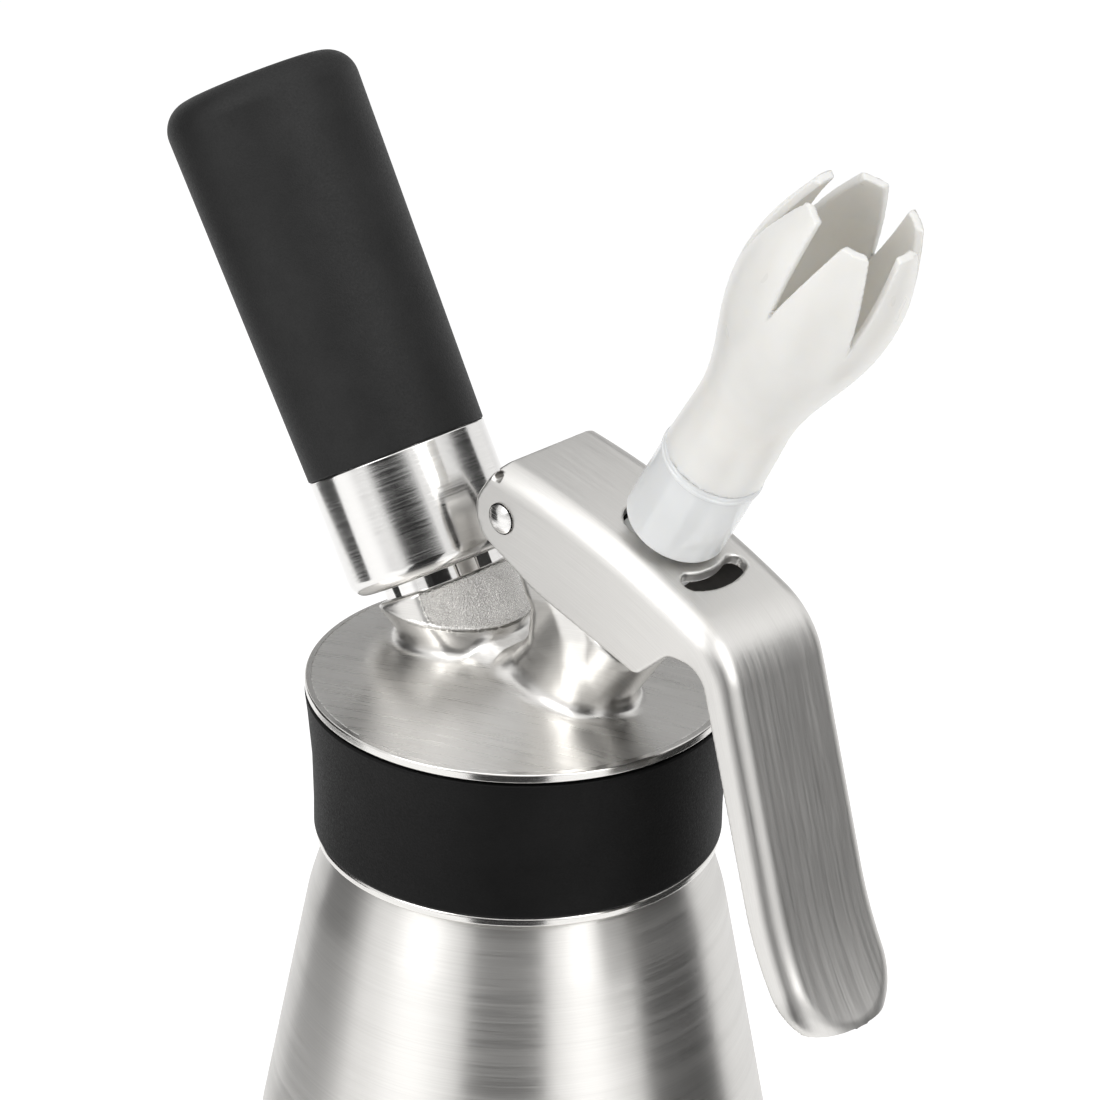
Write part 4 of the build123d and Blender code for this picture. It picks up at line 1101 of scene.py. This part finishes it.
def head_masks(points):
    """Which finish each place of the casting has."""
    x, y, z = points.T
    r = np.hypot(x, y)
    above = z - (RIM_PLANE + (PLATE_RADIUS - r) * DOME_RISE)
    u, v, along_axis = to_local(points, CHARGER).T
    around = np.hypot(u, v)
    blasted = np.clip((around - BLAST_START) / BLAST_BLEND, 0, 1)
    blasted *= np.clip((z - PARTING) / PARTING_BLEND, BLAST_UNDER_PARTING, 1)
    blasted *= (u > INLET_FREE) & (around < BLAST_END) & (along_axis < BLAST_TOP)
    blasted *= z > BLAST_FOOT + BLAST_FOOT_CURVE * y**2
    return {"cast": np.clip(above / CAST_BLEND, 0, 1), "blasted": blasted}


def head_brush(points):
    """Place along and across the straight brushing of the cone, running on over the steep sides."""
    x, y, z = points.T
    run = x * cos(BRUSH_TURN) + y * sin(BRUSH_TURN)
    return np.stack((run, y * cos(BRUSH_TURN) - x * sin(BRUSH_TURN) + z), -1)


def finish_head():
    """Brushed cone, satin casting and shot-blasted inlet boss, blended by the masks."""
    made = head_steel
    blasted = made.attribute("blasted")
    cast = made.attribute("cast")
    shots = made.noise((0.3, 0.3, 0.3), 2.0, 0.7)
    satin = made.noise((1.6, 1.6, 1.6), 4.0)
    brushed = made.math("MULTIPLY", made.source("Roughness"), made.math("SUBTRACT", 1.0, cast))
    smooth = made.math("MULTIPLY", made.ramp(satin, 0.3, 0.36), cast)
    glossier = made.math("MULTIPLY", blasted, -0.18)
    made.rough(made.math("ADD", made.math("ADD", brushed, smooth), glossier))
    made.bump(made.math("MULTIPLY", shots, blasted), 0.55)


finish_head()
CASTING = ("head", "cast_steel", ["head_body"])
free_piece(
    "head_casting", head_distance, (-35, -35, 151.5), (35, 35, 198), 0.5,
    CASTING, head_steel.material, head_brush, head_masks
)
skirt_steel = brushed_steel("skirt_steel", (22, 22, 0.22), 0.2, 0.6)
skirt_steel.tangent("Z")
SKIRT_BORE = 28.08
SKIRT_FOOT = -2.0
RIM_START = DOME_RADIUS - 0.3
RIM_LAP = 0.015
lathe(
    "head_rim",
    [
        (RIM_START, RIM_UNDER - RIM_LAP, 0),
        (PLATE_RADIUS, RIM_UNDER - RIM_LAP, 0.3),
        (PLATE_RADIUS, RIM_PLANE + RIM_LAP, 0.35),
        (RIM_START, RIM_PLANE + RIM_LAP + (PLATE_RADIUS - RIM_START) * DOME_RISE, 0),
    ],
    UPRIGHT, CASTING, skirt_steel.material, 256
)
lathe(
    "head_neck",
    [
        (NEEDLE_BORE, 11, 0), (10, 11, 0), (10, 29.5, 0.5),
        (PIN_BORE, 29.5, 0.2), (PIN_BORE, 18.66, 0), (NEEDLE_BORE, 18.66, 0),
    ],
    CHARGER, CASTING, neck_steel.material
)
lathe(
    "head_skirt",
    [
        (CEILING_RADIUS, 24.4, 0), (CEILING_RADIUS, 18.14, 0), (SKIRT_BORE, 18.14, 0),
        (SKIRT_BORE, SKIRT_FOOT, 0.3), (32.5, SKIRT_FOOT, 0.6), (32.5, BAND_FOOT, 0.6),
        (SKIRT_RADIUS, BAND_FOOT, 0), (SKIRT_RADIUS, 24.4, 0),
    ],
    HEAD, CASTING, skirt_steel.material, 256
)


# ---- camera ----
CAMERA_TURN = 44.16  # degrees round from the front towards the lever's side
CAMERA_RISE = 25.68
CAMERA_ROLL = 1.05
CAMERA_DISTANCE = 824.0
CAMERA_RIGHT = 4.357
CAMERA_UP = 42.992
AIM_HEIGHT = 132.0
LENS = 167.66
SENSOR = 36.0


def direction(turn, rise):
    """Unit direction at turn degrees round from the front (-Y) towards +X, and rise degrees up."""
    turn, rise = radians(turn), radians(rise)
    return Vector((sin(turn) * cos(rise), -cos(turn) * cos(rise), sin(rise)))


def add_camera():
    """The camera at the photograph's angle."""
    turn = radians(CAMERA_TURN)
    roll = radians(CAMERA_ROLL)
    back = direction(CAMERA_TURN, CAMERA_RISE)
    level = Vector((cos(turn), sin(turn), 0.0))
    upright = back.cross(level)
    right = level * cos(roll) + upright * sin(roll)
    up = upright * cos(roll) - level * sin(roll)
    place = level * CAMERA_RIGHT + upright * CAMERA_UP + back * CAMERA_DISTANCE + Vector((0, 0, AIM_HEIGHT))
    camera = bpy.data.cameras.new("camera")
    camera.lens = LENS
    camera.sensor_width = SENSOR
    camera.clip_start = 0.05
    camera.clip_end = 20.0
    holder = add_object("camera", camera)
    turned = Matrix((right, up, back)).transposed().to_4x4()
    holder.matrix_world = Matrix.Translation(place * MM) @ turned
    bpy.context.scene.camera = holder


add_camera()


# ---- light and floor ----
# The studio's lengths are in metres.
CENTRE = Vector((0.0, 0.0, 0.16))
MAT_LIFT = Vector((0.0, 0.0, 0.001))


def add_area(name, turn, rise, distance, width, height, brightness):
    """A soft rectangular lamp in a direction from the object, facing it. White paper has brightness 1."""
    data = bpy.data.lights.new(name, "AREA")
    data.shape = "RECTANGLE"
    data.size = width
    data.size_y = height
    data.energy = brightness * pi * width * height
    lamp = add_object(name, data)
    heading = direction(turn, rise)
    lamp.location = CENTRE + heading * distance
    lamp.rotation_euler = (-heading).to_track_quat("-Z", "Y").to_euler()


def plain_colour(name, brightness):
    """A grey without gloss."""
    return Finish(name, (brightness, brightness, brightness), Specular_IOR_Level=0.0)


def add_panel(name, corners, brightness):
    """A card or mat of the studio that only reflections see."""
    mesh = bpy.data.meshes.new(name)
    mesh.from_pydata([tuple(c) for c in corners], [], [(0, 1, 2, 3)])
    mesh.materials.append(plain_colour(name, brightness).material)
    panel = add_object(name, mesh)
    for ray in ("camera", "diffuse", "shadow", "transmission"):
        setattr(panel, f"visible_{ray}", False)


def add_card(name, turn, rise, distance, width, height, brightness):
    """A card standing in a given direction from the object, facing it."""
    heading = direction(turn, rise)
    right = Vector((0, 0, 1)).cross(heading).normalized()
    up = heading.cross(right)
    middle = CENTRE + heading * distance
    sides = ((-1, -1), (1, -1), (1, 1), (-1, 1))
    add_panel(name, [middle + right * a * width / 2 + up * b * height / 2 for a, b in sides], brightness)


def add_mat(name, turn, near, far, spread, brightness):
    """A mat on the floor from near to far, spread degrees to each side of a direction."""
    corners = [direction(turn - spread, 0) * near, direction(turn + spread, 0) * near]
    corners += [direction(turn + spread, 0) * far, direction(turn - spread, 0) * far]
    add_panel(name, [c + MAT_LIFT for c in corners], brightness)


add_area("soft_left", -10, 36, 1.1, 0.5, 0.8, 3.0)
add_area("soft_right", 86, 34, 1.1, 0.45, 0.8, 3.0)
add_area("soft_top", 44, 84, 1.2, 0.8, 0.8, 1.0)
add_card("card_front", 40, 8, 1.3, 0.9, 0.9, 0.03)
add_card("card_left", -73, 12, 1.3, 1.1, 1.0, 0.06)
add_card("card_high", 12, 13, 1.25, 0.55, 0.3, 0.05)
add_card("card_right", 133, 8, 1.3, 1.15, 0.9, 0.06)
add_card("card_back", 215, 26, 1.3, 1.6, 0.9, 0.5)
add_mat("mat_front", 40, 0.12, 2.6, 20, 0.05)
add_mat("mat_left", -62, 0.33, 2.6, 21, 0.05)
add_mat("mat_right", 131, 0.12, 2.6, 23, 0.05)

FLOOR_SIZE = 6.0
FLOOR_SHADE = 0.9
FLOOR_LIFT = 0.4
WORLD_LIGHT = 0.55


def seen_directly(made):
    """1 for what the camera sees, directly, in reflections or through clear things, and 0 for other light."""
    ray = made.node("ShaderNodeLightPath").outputs
    seen = made.math("MAXIMUM", ray["Is Camera Ray"], ray["Is Glossy Ray"])
    return made.math("MAXIMUM", seen, ray["Is Transmission Ray"])


def add_floor():
    """The plain pale floor, white where the object's shadow doesn't fall on it."""
    half = FLOOR_SIZE / 2
    mesh = bpy.data.meshes.new("floor")
    corners = [(-half, -half, 0), (half, -half, 0), (half, half, 0), (-half, half, 0)]
    mesh.from_pydata(corners, [], [(0, 1, 2, 3)])
    made = plain_colour("floor", FLOOR_SHADE)
    lift = made.math("MULTIPLY", seen_directly(made), FLOOR_LIFT)
    made.set(made.shader, {"Emission Color": (1, 1, 1, 1), "Emission Strength": lift})
    mesh.materials.append(made.material)
    floor = add_object("floor", mesh)


add_floor()


def add_world():
    """White to the camera and in reflections, and a plain soft light on everything else."""
    world = bpy.data.worlds.new("studio")
    bpy.context.scene.world = world
    world.use_nodes = True
    made = Nodes(world.node_tree)
    strength = made.node("ShaderNodeMapRange", {"Value": seen_directly(made), "To Min": WORLD_LIGHT})
    shade = made.tree.nodes["Background"]
    made.set(shade, {"Color": (1, 1, 1, 1), "Strength": strength.outputs["Result"]})


add_world()
bpy.context.scene.view_settings.view_transform = "Standard"
